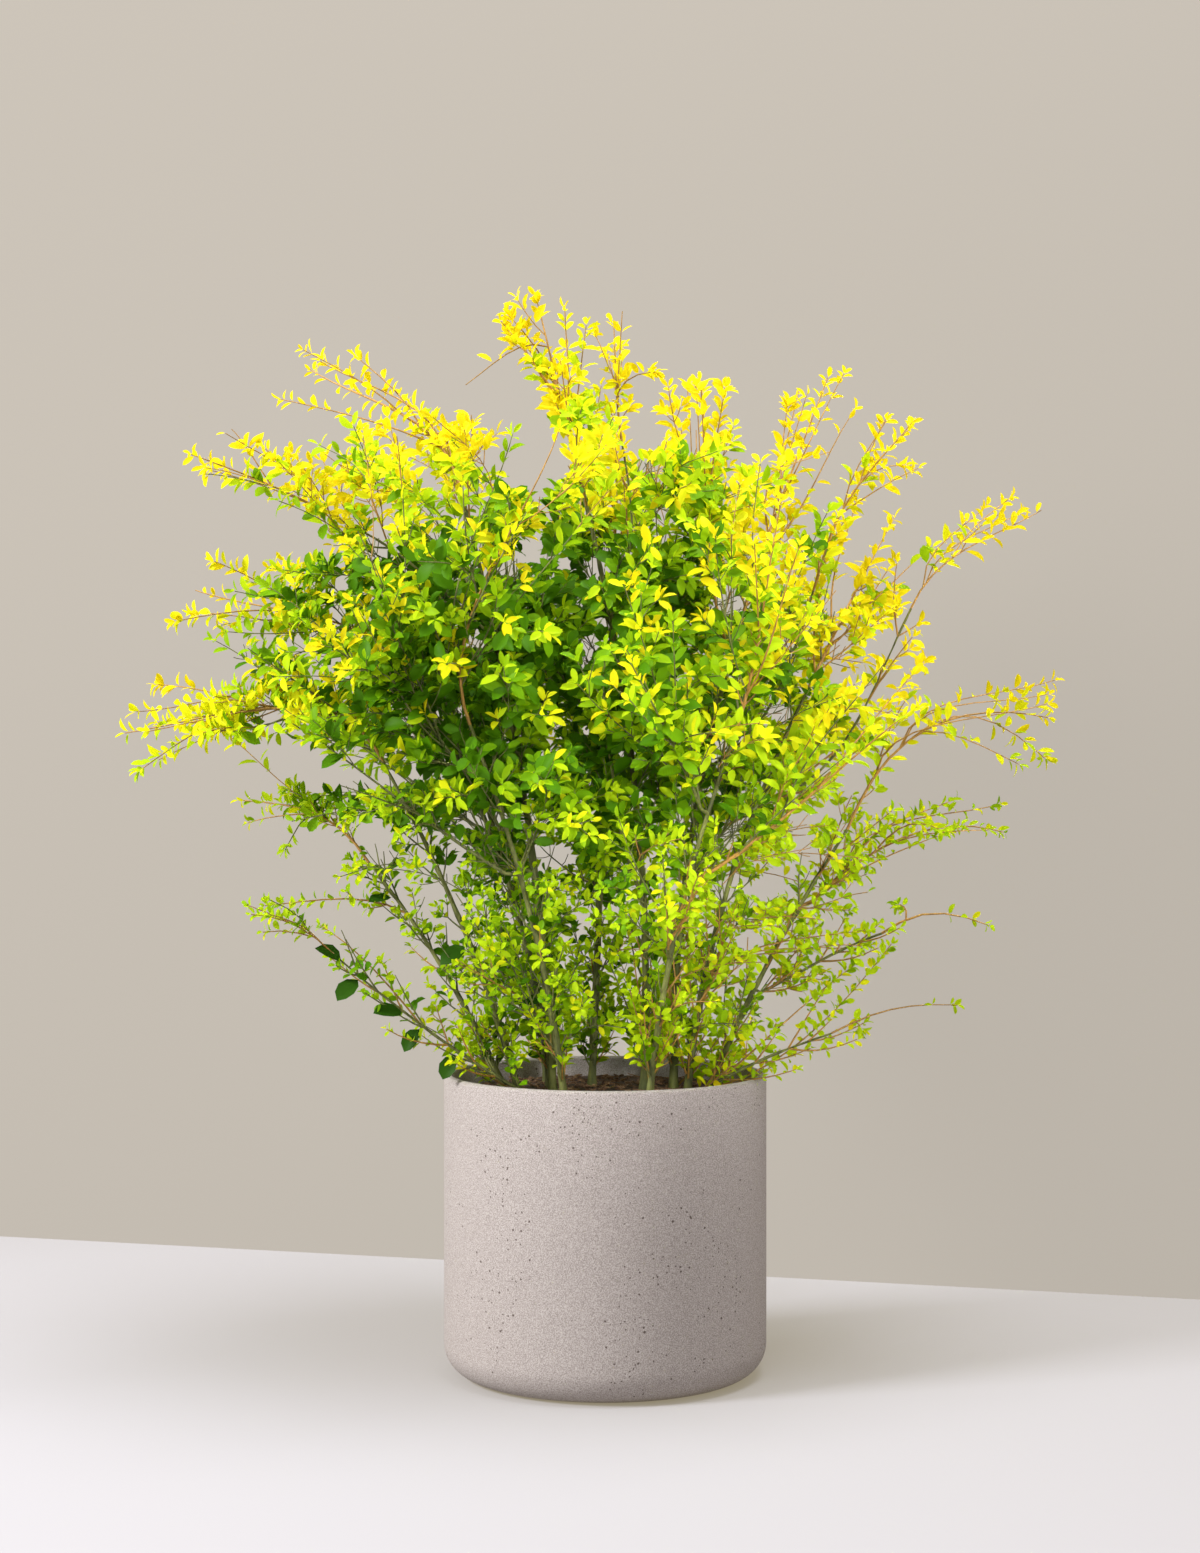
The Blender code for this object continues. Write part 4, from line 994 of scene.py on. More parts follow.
def add_piece(name, mesh, material, slot, replaced=()):
    """A piece of the plant, which rides on its one body."""
    made = bpy.data.objects.new(name, mesh)
    bpy.context.scene.collection.objects.link(made)
    made.data.materials.append(material)
    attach(made, "root")
    if replaced:
        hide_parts(*replaced)
    return made


def leaf_template(fold, droop):
    """The points and triangles of a leaf of unit length and unit half width: a petiole,
    a rib, and a blade on each side that folds up from the rib and droops to the tip."""
    points = [(-PETIOLE_WIDTH, 0, 0), (PETIOLE_WIDTH, 0, 0)]
    triangles = []
    for t, _ in LEAF_OUTLINE:
        points.append((0, t, -droop * t * t))
    ribs = [2 + i for i in range(len(LEAF_OUTLINE))]
    edges = {}
    for side in (-1, 1):
        edges[side] = []
        for t, half in LEAF_OUTLINE[1:]:
            edges[side].append(len(points))
            points.append((side * half, t, -droop * t * t + fold * half * 0.5))
    tip = len(points)
    points.append((0, 1, -droop * 1.1))
    triangles.append((0, 1, ribs[0]))
    for side in (-1, 1):
        edge = edges[side]
        fans = [(ribs[0], edge[0], ribs[1])]
        for i in range(len(edge) - 1):
            fans += [(ribs[i + 1], edge[i], edge[i + 1]), (ribs[i + 1], edge[i + 1], ribs[i + 2])]
        fans.append((ribs[-1], edge[-1], tip))
        triangles += fans if side < 0 else [(a, c, b) for a, b, c in fans]
    return np.array(points, float), np.array(triangles)


def leaves_mesh(name, leaves):
    """One mesh of many leaves."""
    all_points, all_faces = [], []
    start = 0
    for k, (fold, droop) in enumerate(LEAF_FOLDS):
        chosen = leaves[k :: len(LEAF_FOLDS)]
        if not chosen:
            continue
        template, triangles = leaf_template(fold, droop)
        ways = np.array([leaf.way for leaf in chosen])
        faces = np.array([leaf.face for leaf in chosen])
        rights = np.cross(ways, faces)
        places = np.array([leaf.place for leaf in chosen])
        longs = np.array([leaf.length for leaf in chosen])[:, None, None]
        wides = np.array([leaf.width / 2 for leaf in chosen])[:, None, None]
        points = (
            rights[:, None] * template[None, :, :1] * wides
            + ways[:, None] * template[None, :, 1:2] * longs
            + faces[:, None] * template[None, :, 2:] * longs * 0.6
            + places[:, None]
        )
        corners = triangles[None] + (np.arange(len(chosen)) * len(template))[:, None, None] + start
        start += len(chosen) * len(template)
        all_points.append(points.reshape(-1, 3))
        all_faces.append(corners.reshape(-1, 3))
    return mesh_from(name, np.concatenate(all_points), np.concatenate(all_faces))


def twigs_mesh(name, twigs):
    """One mesh of many thin tubes."""
    all_points, all_faces = [], []
    start = 0
    for twig in twigs:
        step = 1 if len(twig.points) < 6 else 2 if len(twig.points) < 14 else 3
        keep = sorted(set(range(0, len(twig.points), step)) | {len(twig.points) - 1})
        path = [twig.points[i] for i in keep]
        radii = [twig.radii[i] for i in keep]
        sides = 5 if twig.radii[0] > 0.0016 else 3
        points, quads = tube_arrays(path, radii, sides)
        all_points.append(points)
        all_faces.append(quads + start)
        start += len(points)
    return mesh_from(name, np.concatenate(all_points), np.concatenate(all_faces))


def bark_mesh(name, limb, sides, relief, flare):
    """A limb with bark relief: knots at its nodes, ridges along it, and a flared foot."""
    slim = STEM_SLIM if limb.radii[0] > SLENDER else BOUGH_SLIM
    radii = [radius * slim for radius in limb.radii]
    points, quads = tube_arrays(limb.points, radii, sides)
    count = len(limb.points)
    shift = random.Random(name).uniform(0, 50)
    gap = 7
    for i in range(count):
        middle = np.array(limb.points[i])
        knot = math.exp(-(((i + gap // 2) % gap - gap // 2) ** 2))
        foot = flare * math.exp(-i / 2.0)
        for k in range(sides):
            place = i * sides + k
            arm = points[place] - middle
            turn = k * math.tau / sides
            spot = Vector((math.cos(turn) * 1.6, math.sin(turn) * 1.6, i * 0.35 + shift))
            ridge = noise.noise(spot) * relief / radii[i]
            points[place] = middle + arm * (1 + ridge + 0.16 * knot + foot)
    return mesh_from(name, points, quads)


def new_material(name):
    """An empty node material with its output, and the means to add to it."""
    made = bpy.data.materials.new(name)
    made.use_nodes = True
    made.node_tree.nodes.clear()
    output = made.node_tree.nodes.new("ShaderNodeOutputMaterial")
    return made, made.node_tree, output


def add_node(tree, kind, values=None, **settings):
    """A node with its settings and the values of its inputs."""
    made = tree.nodes.new(kind)
    for key, value in settings.items():
        setattr(made, key, value)
    for key, value in (values or {}).items():
        made.inputs[key].default_value = value
    return made


def new_group(name, inputs, outputs):
    """An empty shader node group with named sockets, and its two ends."""
    tree = bpy.data.node_groups.new(name, "ShaderNodeTree")
    for label, kind, default in inputs:
        socket = tree.interface.new_socket(label, in_out="INPUT", socket_type=kind)
        socket.default_value = default
    for label, kind in outputs:
        tree.interface.new_socket(label, in_out="OUTPUT", socket_type=kind)
    return tree, tree.nodes.new("NodeGroupInput"), tree.nodes.new("NodeGroupOutput")


def gloss_group():
    """Leaf gloss: how rough a leaf is from spot to spot, and the height of its fine veins."""
    found = bpy.data.node_groups.get("leaf_gloss")
    if found:
        return found
    inputs = [
        ("Roughness", "NodeSocketFloat", 0.45),
        ("Spread", "NodeSocketFloat", 0.2),
        ("Scale", "NodeSocketFloat", 160.0),
    ]
    outputs = [("Roughness", "NodeSocketFloat"), ("Height", "NodeSocketFloat")]
    tree, start, end = new_group("leaf_gloss", inputs, outputs)
    place = add_node(tree, "ShaderNodeTexCoord")
    spots = add_node(tree, "ShaderNodeTexNoise", {"Detail": 2.0})
    spread = add_node(tree, "ShaderNodeMath", operation="MULTIPLY_ADD")
    centred = add_node(tree, "ShaderNodeMath", {1: 0.5}, operation="SUBTRACT")
    tree.links.new(place.outputs["Object"], spots.inputs["Vector"])
    tree.links.new(start.outputs["Scale"], spots.inputs["Scale"])
    tree.links.new(spots.outputs["Fac"], centred.inputs[0])
    tree.links.new(centred.outputs[0], spread.inputs[0])
    tree.links.new(start.outputs["Spread"], spread.inputs[1])
    tree.links.new(start.outputs["Roughness"], spread.inputs[2])
    tree.links.new(spread.outputs[0], end.inputs["Roughness"])
    tree.links.new(spots.outputs["Fac"], end.inputs["Height"])
    return tree


def leaf_material(name, colour, through):
    """A leaf that is glossy above and lets some light through."""
    made, tree, output = new_material(name)
    gloss = add_node(tree, "ShaderNodeGroup", node_tree=gloss_group())
    bump = add_node(tree, "ShaderNodeBump", {"Strength": 0.25, "Distance": 0.0006})
    skin = add_node(tree, "ShaderNodeBsdfPrincipled", {"Base Color": (*colour, 1), "Specular IOR Level": 0.05})
    glow = add_node(tree, "ShaderNodeBsdfTranslucent", {"Color": (*colour, 1)})
    mix = add_node(tree, "ShaderNodeMixShader", {"Fac": through})
    tree.links.new(gloss.outputs["Roughness"], skin.inputs["Roughness"])
    tree.links.new(gloss.outputs["Height"], bump.inputs["Height"])
    tree.links.new(bump.outputs["Normal"], skin.inputs["Normal"])
    tree.links.new(skin.outputs[0], mix.inputs[1])
    tree.links.new(glow.outputs[0], mix.inputs[2])
    tree.links.new(mix.outputs[0], output.inputs["Surface"])
    return made


def grain_group():
    """Bark grain: a colour that runs between two barks in long streaks, and its height, with the dark bark in the low
    streaks, so the furrows are darker.
    """
    found = bpy.data.node_groups.get("bark_grain")
    if found:
        return found
    inputs = [
        ("Light Bark", "NodeSocketColor", (0.5, 0.4, 0.3, 1)),
        ("Dark Bark", "NodeSocketColor", (0.2, 0.1, 0.05, 1)),
        ("Scale", "NodeSocketFloat", 90.0),
    ]
    outputs = [("Color", "NodeSocketColor"), ("Height", "NodeSocketFloat")]
    tree, start, end = new_group("bark_grain", inputs, outputs)
    place = add_node(tree, "ShaderNodeTexCoord")
    stretch = add_node(tree, "ShaderNodeMapping", {"Scale": (1.0, 1.0, 0.22)})
    streaks = add_node(tree, "ShaderNodeTexNoise", {"Detail": 4.0, "Roughness": 0.6})
    ramp = add_node(tree, "ShaderNodeMapRange", {"From Min": 0.35, "From Max": 0.65})
    mix = add_node(tree, "ShaderNodeMix", data_type="RGBA")
    tree.links.new(place.outputs["Object"], stretch.inputs["Vector"])
    tree.links.new(stretch.outputs[0], streaks.inputs["Vector"])
    tree.links.new(start.outputs["Scale"], streaks.inputs["Scale"])
    tree.links.new(streaks.outputs["Fac"], ramp.inputs["Value"])
    tree.links.new(ramp.outputs[0], mix.inputs[0])
    # The dark bark goes where the streaks are low; with the old bark's colours this is painted shade in the furrows
    # as well as grain.
    tree.links.new(start.outputs["Dark Bark"], mix.inputs[6])
    tree.links.new(start.outputs["Light Bark"], mix.inputs[7])
    tree.links.new(mix.outputs[2], end.inputs["Color"])
    tree.links.new(streaks.outputs["Fac"], end.inputs["Height"])
    return tree


def bark_material(name, light, dark, roughness, scale):
    """Bark with grain along it."""
    made, tree, output = new_material(name)
    values = {"Light Bark": (*light, 1), "Dark Bark": (*dark, 1), "Scale": scale}
    grain = add_node(tree, "ShaderNodeGroup", node_tree=grain_group())
    for key, value in values.items():
        grain.inputs[key].default_value = value
    bump = add_node(tree, "ShaderNodeBump", {"Strength": 0.6, "Distance": 0.0012})
    skin = add_node(tree, "ShaderNodeBsdfPrincipled", {"Roughness": roughness})
    tree.links.new(grain.outputs["Color"], skin.inputs["Base Color"])
    tree.links.new(grain.outputs["Height"], bump.inputs["Height"])
    tree.links.new(bump.outputs["Normal"], skin.inputs["Normal"])
    tree.links.new(skin.outputs[0], output.inputs["Surface"])
    return made


def concrete_material(settings):
    """Pale concrete: fine light and dark grains, soft clouds, and small pits in loose groups, with painted shade
    inside the pits.
    """
    made, tree, output = new_material("concrete")
    place = add_node(tree, "ShaderNodeTexCoord")
    clouds = add_node(tree, "ShaderNodeTexNoise", {"Scale": 9.0, "Detail": 3.0})
    grains = add_node(tree, "ShaderNodeTexNoise", {"Scale": 820.0, "Detail": 2.0})
    groups = add_node(tree, "ShaderNodeTexNoise", {"Scale": 13.0, "Detail": 1.0})
    pits = add_node(tree, "ShaderNodeTexVoronoi", {"Scale": settings.pit_scale, "Randomness": 1.0})
    bends = add_node(tree, "ShaderNodeTexNoise", {"Scale": 340.0})
    warp = add_node(tree, "ShaderNodeVectorMath", {3: 0.0016}, operation="SCALE")
    moved = add_node(tree, "ShaderNodeVectorMath", operation="ADD")
    for texture in (clouds, grains, groups, bends):
        tree.links.new(place.outputs["Object"], texture.inputs["Vector"])
    tree.links.new(bends.outputs["Color"], warp.inputs[0])
    tree.links.new(place.outputs["Object"], moved.inputs[0])
    tree.links.new(warp.outputs[0], moved.inputs[1])
    tree.links.new(moved.outputs[0], pits.inputs["Vector"])
    pick = add_node(tree, "ShaderNodeSeparateColor")
    tree.links.new(pits.outputs["Color"], pick.inputs[0])
    rare = add_node(tree, "ShaderNodeMapRange", {"From Min": 0.50, "From Max": 0.68, "To Max": 0.75})
    tree.links.new(groups.outputs["Fac"], rare.inputs["Value"])
    some = add_node(tree, "ShaderNodeMath", operation="LESS_THAN")
    tree.links.new(pick.outputs["Red"], some.inputs[0])
    tree.links.new(rare.outputs[0], some.inputs[1])
    size = add_node(tree, "ShaderNodeMapRange", {"To Min": 0.12, "To Max": 0.27})
    tree.links.new(pick.outputs["Green"], size.inputs["Value"])
    near = add_node(tree, "ShaderNodeMath", operation="LESS_THAN")
    tree.links.new(pits.outputs["Distance"], near.inputs[0])
    tree.links.new(size.outputs[0], near.inputs[1])
    pit = add_node(tree, "ShaderNodeMath", operation="MULTIPLY")
    tree.links.new(some.outputs[0], pit.inputs[0])
    tree.links.new(near.outputs[0], pit.inputs[1])
    tone = add_node(tree, "ShaderNodeMix", data_type="RGBA")
    tone.inputs[6].default_value = (*settings.concrete_shade, 1)
    tone.inputs[7].default_value = (*settings.concrete, 1)
    spread = add_node(tree, "ShaderNodeMapRange", {"From Min": 0.36, "From Max": 0.64})
    tree.links.new(grains.outputs["Fac"], spread.inputs["Value"])
    tree.links.new(spread.outputs[0], tone.inputs[0])
    cloudy = add_node(tree, "ShaderNodeMix", data_type="RGBA", blend_type="MULTIPLY")
    cloudy.inputs[7].default_value = (0.93, 0.92, 0.91, 1)
    tree.links.new(clouds.outputs["Fac"], cloudy.inputs[0])
    tree.links.new(tone.outputs[2], cloudy.inputs[6])
    # Inside the pits the colour turns dark: painted shade in the pits.
    dark = add_node(tree, "ShaderNodeMix", data_type="RGBA")
    dark.inputs[7].default_value = (*settings.pit, 1)
    tree.links.new(pit.outputs[0], dark.inputs[0])
    tree.links.new(cloudy.outputs[2], dark.inputs[6])
    deep = add_node(tree, "ShaderNodeMath", {1: -4.0}, operation="MULTIPLY_ADD")
    tree.links.new(pit.outputs[0], deep.inputs[0])
    tree.links.new(grains.outputs["Fac"], deep.inputs[2])
    bump = add_node(tree, "ShaderNodeBump", {"Strength": 0.35, "Distance": 0.0006})
    skin = add_node(tree, "ShaderNodeBsdfPrincipled", {"Roughness": 0.88})
    tree.links.new(deep.outputs[0], bump.inputs["Height"])
    tree.links.new(bump.outputs["Normal"], skin.inputs["Normal"])
    tree.links.new(dark.outputs[2], skin.inputs["Base Color"])
    tree.links.new(skin.outputs[0], output.inputs["Surface"])
    return made


def soil_material(name, light, dark):
    """Dark potting mix with paler crumbs."""
    made, tree, output = new_material(name)
    place = add_node(tree, "ShaderNodeTexCoord")
    crumbs = add_node(tree, "ShaderNodeTexNoise", {"Scale": 240.0, "Detail": 4.0})
    ramp = add_node(tree, "ShaderNodeMapRange", {"From Min": 0.4, "From Max": 0.68})
    mix = add_node(tree, "ShaderNodeMix", data_type="RGBA")
    mix.inputs[6].default_value = (*dark, 1)
    mix.inputs[7].default_value = (*light, 1)
    bump = add_node(tree, "ShaderNodeBump", {"Strength": 0.8, "Distance": 0.002})
    skin = add_node(tree, "ShaderNodeBsdfPrincipled", {"Roughness": 0.95})
    tree.links.new(place.outputs["Object"], crumbs.inputs["Vector"])
    tree.links.new(crumbs.outputs["Fac"], ramp.inputs["Value"])
    tree.links.new(ramp.outputs[0], mix.inputs[0])
    tree.links.new(crumbs.outputs["Fac"], bump.inputs["Height"])
    tree.links.new(mix.outputs[2], skin.inputs["Base Color"])
    tree.links.new(bump.outputs["Normal"], skin.inputs["Normal"])
    tree.links.new(skin.outputs[0], output.inputs["Surface"])
    return made


def lit_material(name, colour, glow):
    """An evenly lit stage surface that is seen from its front only, so that it hides
    nothing from behind."""
    made, tree, output = new_material(name)
    side = add_node(tree, "ShaderNodeNewGeometry")
    skin = add_node(tree, "ShaderNodeBsdfDiffuse", {"Color": (*colour, 1)})
    light = add_node(tree, "ShaderNodeEmission", {"Color": (*glow, 1)})
    both = add_node(tree, "ShaderNodeAddShader")
    clear = add_node(tree, "ShaderNodeBsdfTransparent")
    mix = add_node(tree, "ShaderNodeMixShader")
    tree.links.new(skin.outputs[0], both.inputs[0])
    tree.links.new(light.outputs[0], both.inputs[1])
    tree.links.new(side.outputs["Backfacing"], mix.inputs["Fac"])
    tree.links.new(both.outputs[0], mix.inputs[1])
    tree.links.new(clear.outputs[0], mix.inputs[2])
    tree.links.new(mix.outputs[0], output.inputs["Surface"])
    return made


def colour_property(label, description, default):
    """A colour in the sidebar."""
    return FloatVectorProperty(
        name=label, description=description, subtype="COLOR", size=3, min=0, max=1, default=default
    )


def length_property(label, description, default):
    """A length in the sidebar."""
    return FloatProperty(
        name=label, description=description, unit="LENGTH", min=0, default=default, precision=5
    )


class PlanterSettings(bpy.types.PropertyGroup):
    """The planter's concrete."""

    concrete: colour_property("Concrete", "Colour of the pale grains", (0.445, 0.401, 0.380))
    concrete_shade: colour_property("Concrete shade", "Colour of the darker grains", (0.243, 0.208, 0.194))
    # The colour inside the pits is painted shade.
    pit: colour_property("Pits", "Colour inside the small pits", (0.10, 0.075, 0.065))
    pit_scale: FloatProperty(name="Pit scale", description="How many pits fit in a metre", default=190.0)


class SoilSettings(bpy.types.PropertyGroup):
    """The potting mix."""

    light: colour_property("Crumbs", "Colour of the pale crumbs", (0.16, 0.085, 0.045))
    dark: colour_property("Soil", "Colour of the soil between them", (0.022, 0.013, 0.008))
    chip_light: colour_property("Pale chips", "Colour of the chips' pale streaks", (0.30, 0.17, 0.085))
    chip_dark: colour_property("Chips", "Colour of the bark chips", (0.10, 0.050, 0.024))
    chips: IntProperty(name="Chips", description="How many bark chips lie on the soil", default=700)


class BarkSettings(bpy.types.PropertyGroup):
    """The stems and boughs."""

    light: colour_property("Light bark", "Colour of the ridges of old bark", (0.165, 0.175, 0.036))
    # The dark old bark is the stems' shaded tone: in the furrows it is painted shade as well as grain.
    dark: colour_property("Dark bark", "Colour of the furrows of old bark", (0.048, 0.054, 0.010))
    young_light: colour_property("Young bark", "Colour of young bark", (0.42, 0.22, 0.035))
    young_dark: colour_property("Young bark shade", "Colour of its furrows", (0.24, 0.120, 0.018))
    relief: length_property("Relief", "How far the ridges stand out", 0.0009)


class FoliageSettings(bpy.types.PropertyGroup):
    """The twigs and leaves."""

    leaf_length: length_property("Leaf length", "Length of a leaf high in the crown", 0.0245)
    old_leaf_length: length_property("Old leaf length", "Length of the old leaves low down", 0.036)
    low_leaf_share: FloatProperty(name="Low leaves", description="Length of low leaves", default=0.64)
    leaf_missing: FloatProperty(name="Missing", description="Share of leaves left out", default=0.12)
    low_missing: FloatProperty(name="Low missing", description="How many more between the stems", default=0.20)
    speck_size: length_property("Speck size", "How large the small gaps between sprays are", 0.042)
    speck_level: FloatProperty(name="Speck level", description="Noise above it stays open", default=0.41)
    shown_limbs: FloatProperty(name="Shown limbs", description="Leaves left off in front of limbs", default=0.6)
    axil_leaves: FloatProperty(name="Axil leaves", description="Share with a small one", default=0.2)
    pair_gap: length_property("Pair gap", "From one pair of leaves to the next", 0.0165)
    rosette_gap: length_property("Rosette gap", "The same at the tip of a twig", 0.0045)
    twiglet_gap: length_property("Side twig gap", "From one pair of side twigs to the next", 0.032)
    shoot_gap: length_property("Shoot gap", "From one pair of shoots to the next on a mass", 0.042)
    bare_gap: length_property("Bare gap", "How big a bare spot in the crown may be", 0.052)
    bare_patches: FloatProperty(name="Bare patches", description="Noise below it stays bare", default=-0.10)
    patches: FloatProperty(name="Patches", description="How many patches fit in a metre", default=11.0)
    longest_fill: length_property("Longest fill", "The longest shoot into a bare spot", 0.16)
    fill_gap: length_property("Inner shoot gap", "The same on a limb inside the crown", 0.075)
    low_gap: length_property("Low shoot gap", "The same on a stem below the crown", 0.034)
    side_length: length_property("Side twig length", "Length of the longest side twigs", 0.044)
    forward: FloatProperty(name="Forward", description="How far shoots lean along their limb", default=1.3)
    mass_girth: length_property("Stem radius", "Radius of the foot of a mass's stem", 0.0026)
    shoot_girth: length_property("Shoot radius", "Radius of the foot of a shoot", 0.0015)
    end_girth: length_property("Tip radius", "Radius of the tip of a twig", 0.0006)
    runners: IntProperty(name="Runners", description="Slender shoots beside a mass's stem", default=4)
    tip_tint: FloatProperty(name="Tip tint", description="How much more golden young leaves are", default=0.65)
    leaf_tint: FloatProperty(name="Leaf tint", description="How much leaves differ in tint", default=0.09)
    spray_tint: FloatProperty(name="Spray tint", description="How much sprays differ in tint", default=0.10)
    young_twigs: FloatProperty(name="Young twigs", description="Share with a pale outer half", default=0.40)
    old_sprays: FloatProperty(name="Old sprays", description="Share of dark sprays", default=0.28)
    see_through: FloatProperty(name="Glow", description="Share of light that a young leaf lets through", default=0.52)
    amber: colour_property("Amber", "The warmest young leaves", (0.84, 0.64, 0.006))
    gold: colour_property("Gold", "Leaves at the top and sides", (0.84, 0.70, 0.008))
    yellow: colour_property("Yellow", "Leaves just inside the gold", (0.73, 0.74, 0.008))
    fresh: colour_property("Yellow green", "Leaves between yellow and lime", (0.48, 0.66, 0.008))
    lime: colour_property("Lime", "Leaves half way in", (0.27, 0.455, 0.004))
    green: colour_property("Green", "Leaves well inside the crown", (0.142, 0.305, 0.003))
    deep: colour_property("Deep green", "Dark leaves deep in the crown", (0.058, 0.165, 0.002))
    old: colour_property("Old green", "The large old leaves low down", (0.022, 0.070, 0.004))


class StageSettings(bpy.types.PropertyGroup):
    """The floor, backdrop, light and camera."""

    floor: colour_property("Floor", "Colour of the floor", (0.267, 0.2675, 0.312))
    floor_glow: colour_property("Floor light", "Even light from the floor", (0.246, 0.2135, 0.141))
    wall: colour_property("Backdrop", "Colour of the backdrop", (0.055, 0.0503, 0.0441))
    wall_glow: colour_property("Backdrop light", "Even light from the backdrop", (0.455, 0.416, 0.365))
    sky: colour_property("Surroundings", "Colour of the light from all round", (1.0, 0.985, 0.96))
    sky_strength: FloatProperty(name="Surroundings", description="Strength of that light", default=0.67)
    key_power: FloatProperty(name="Key light", description="Watts of the key light", default=198.0)
    fill_power: FloatProperty(name="Fill light", description="Watts of the light on the crown's right", default=1.7)
    low_power: FloatProperty(name="Low light", description="Watts of the light on the stems", default=0.60)
    top_power: FloatProperty(name="Top light", description="Watts of the light overhead", default=130.0)
    camera_distance: length_property("Camera distance", "How far in front the camera stands", 3.10)
    camera_height: length_property("Camera height", "How high the camera stands", 0.7025)
    lens: FloatProperty(name="Lens", description="Focal length in millimetres", default=60.84)


LEAVES_IN_PIECE = 14500

# The leaf colours: up to which tint each goes, its setting's name, its material slot and
# its share of the young leaves' glow.
LeafClass = namedtuple("LeafClass", "limit name slot glow")
LEAF_CLASSES = (
    LeafClass(-0.50, "old", "leaf_deep", 0.2),
    LeafClass(0.13, "deep", "leaf_deep", 0.4),
    LeafClass(0.31, "green", "leaf_green", 0.65),
    LeafClass(0.50, "lime", "leaf_lime", 0.85),
    LeafClass(0.66, "fresh", "leaf_lime", 0.95),
    LeafClass(0.82, "yellow", "leaf_yellow", 0.9),
    LeafClass(1.25, "gold", "leaf_gold", 1.0),
    LeafClass(9.99, "amber", "leaf_gold", 1.0),
)


class PRIVET_OT_planter(bpy.types.Operator):
    """Makes the planter's fine concrete shell"""

    bl_idname = "privet.planter"
    bl_label = "Planter"

    def execute(self, context):
        settings = context.scene.privet_planter
        mesh = turned_mesh("planter", pot_profile(), POT_SIDES)
        add_piece("planter", mesh, concrete_material(settings), "concrete", ["pot"])
        return {"FINISHED"}


class PRIVET_OT_soil(bpy.types.Operator):
    """Makes the soil and the bark chips on it"""

    bl_idname = "privet.soil"
    bl_label = "Soil"

    def execute(self, context):
        settings = context.scene.privet_soil
        soil = NODES["soil"]
        soil.data.materials.clear()
        soil.data.materials.append(soil_material("soil", settings.light, settings.dark))
        bark = soil_material("bark_chips", settings.chip_light, settings.chip_dark)
        add_piece("bark_chips", chips_mesh("bark_chips", settings), bark, "soil")
        return {"FINISHED"}


class PRIVET_OT_limbs(bpy.types.Operator):
    """Makes the stems and boughs with bark relief"""

    bl_idname = "privet.limbs"
    bl_label = "Stems and boughs"

    def execute(self, context):
        settings = context.scene.privet_bark
        # The old bark's dark furrows are partly painted shade.
        old = bark_material("old_bark", settings.light, settings.dark, 0.75, 90.0)
        for name, limb in make_limbs().items():
            stem = name in STEMS
            mesh = bark_mesh(name, limb, 10, settings.relief, 0.35 if stem else 0)
            add_piece("bark_" + name, mesh, old, "bark", [name])
        return {"FINISHED"}


class PRIVET_OT_foliage(bpy.types.Operator):
    """Grows the twigs and leaves of every mass"""

    bl_idname = "privet.foliage"
    bl_label = "Twigs and leaves"

    def execute(self, context):
        settings = context.scene.privet_foliage
        bark = context.scene.privet_bark
        grower = Grower(settings, make_limbs())
        grower.grow()
        masses = list(MASSES)
        lowest = -9.0
        for limit, name, slot, glow in LEAF_CLASSES:
            chosen = [leaf for leaf in grower.leaves if lowest <= leaf.tint < limit]
            lowest = limit
            if not chosen:
                continue
            through = settings.see_through * glow
            material = leaf_material("leaf_" + name, getattr(settings, name), through)
            parts = math.ceil(len(chosen) / LEAVES_IN_PIECE)
            for k in range(parts):
                label = f"leaves_{name}_{k + 1}" if parts > 1 else "leaves_" + name
                add_piece(label, leaves_mesh(label, chosen[k::parts]), material, slot, masses)
        gold = [twig for twig in grower.twigs if twig.tint >= 0.55]
        green = [twig for twig in grower.twigs if twig.tint < 0.55]
        warm = bark_material("twig_bark", bark.young_light, bark.young_dark, 0.55, 240.0)
        # The lower twigs take the old bark's colours, dark furrows of painted shade included.
        cool = bark_material("green_twig_bark", bark.light, bark.dark, 0.6, 240.0)
        add_piece("twigs_upper", twigs_mesh("twigs_upper", gold), warm, "young_bark")
        add_piece("twigs_lower", twigs_mesh("twigs_lower", green), cool, "young_bark")
        print("leaves", len(grower.leaves), "twigs", len(grower.twigs))
        return {"FINISHED"}


class PRIVET_OT_stage(bpy.types.Operator):
    """Sets up the floor, backdrop, light and camera"""

    bl_idname = "privet.stage"
    bl_label = "Stage"

    def execute(self, context):
        scene = context.scene
        settings = scene.privet_stage
        scene.view_settings.view_transform = "Standard"
        scene.view_settings.look = "None"
        add_floor(scene, settings)
        add_wall(scene, settings)
        add_world(scene, settings)
        add_lights(scene, settings)
        add_camera(scene, settings)
        return {"FINISHED"}


def plane_object(scene, name, corners, material):
    """A flat stage object with four corners."""
    shape = bmesh.new()
    shape.faces.new([shape.verts.new(corner) for corner in corners])
    mesh = bpy.data.meshes.new(name)
    shape.to_mesh(mesh)
    shape.free()
    made = bpy.data.objects.new(name, mesh)
    scene.collection.objects.link(made)
    mesh.materials.append(material)
    return made


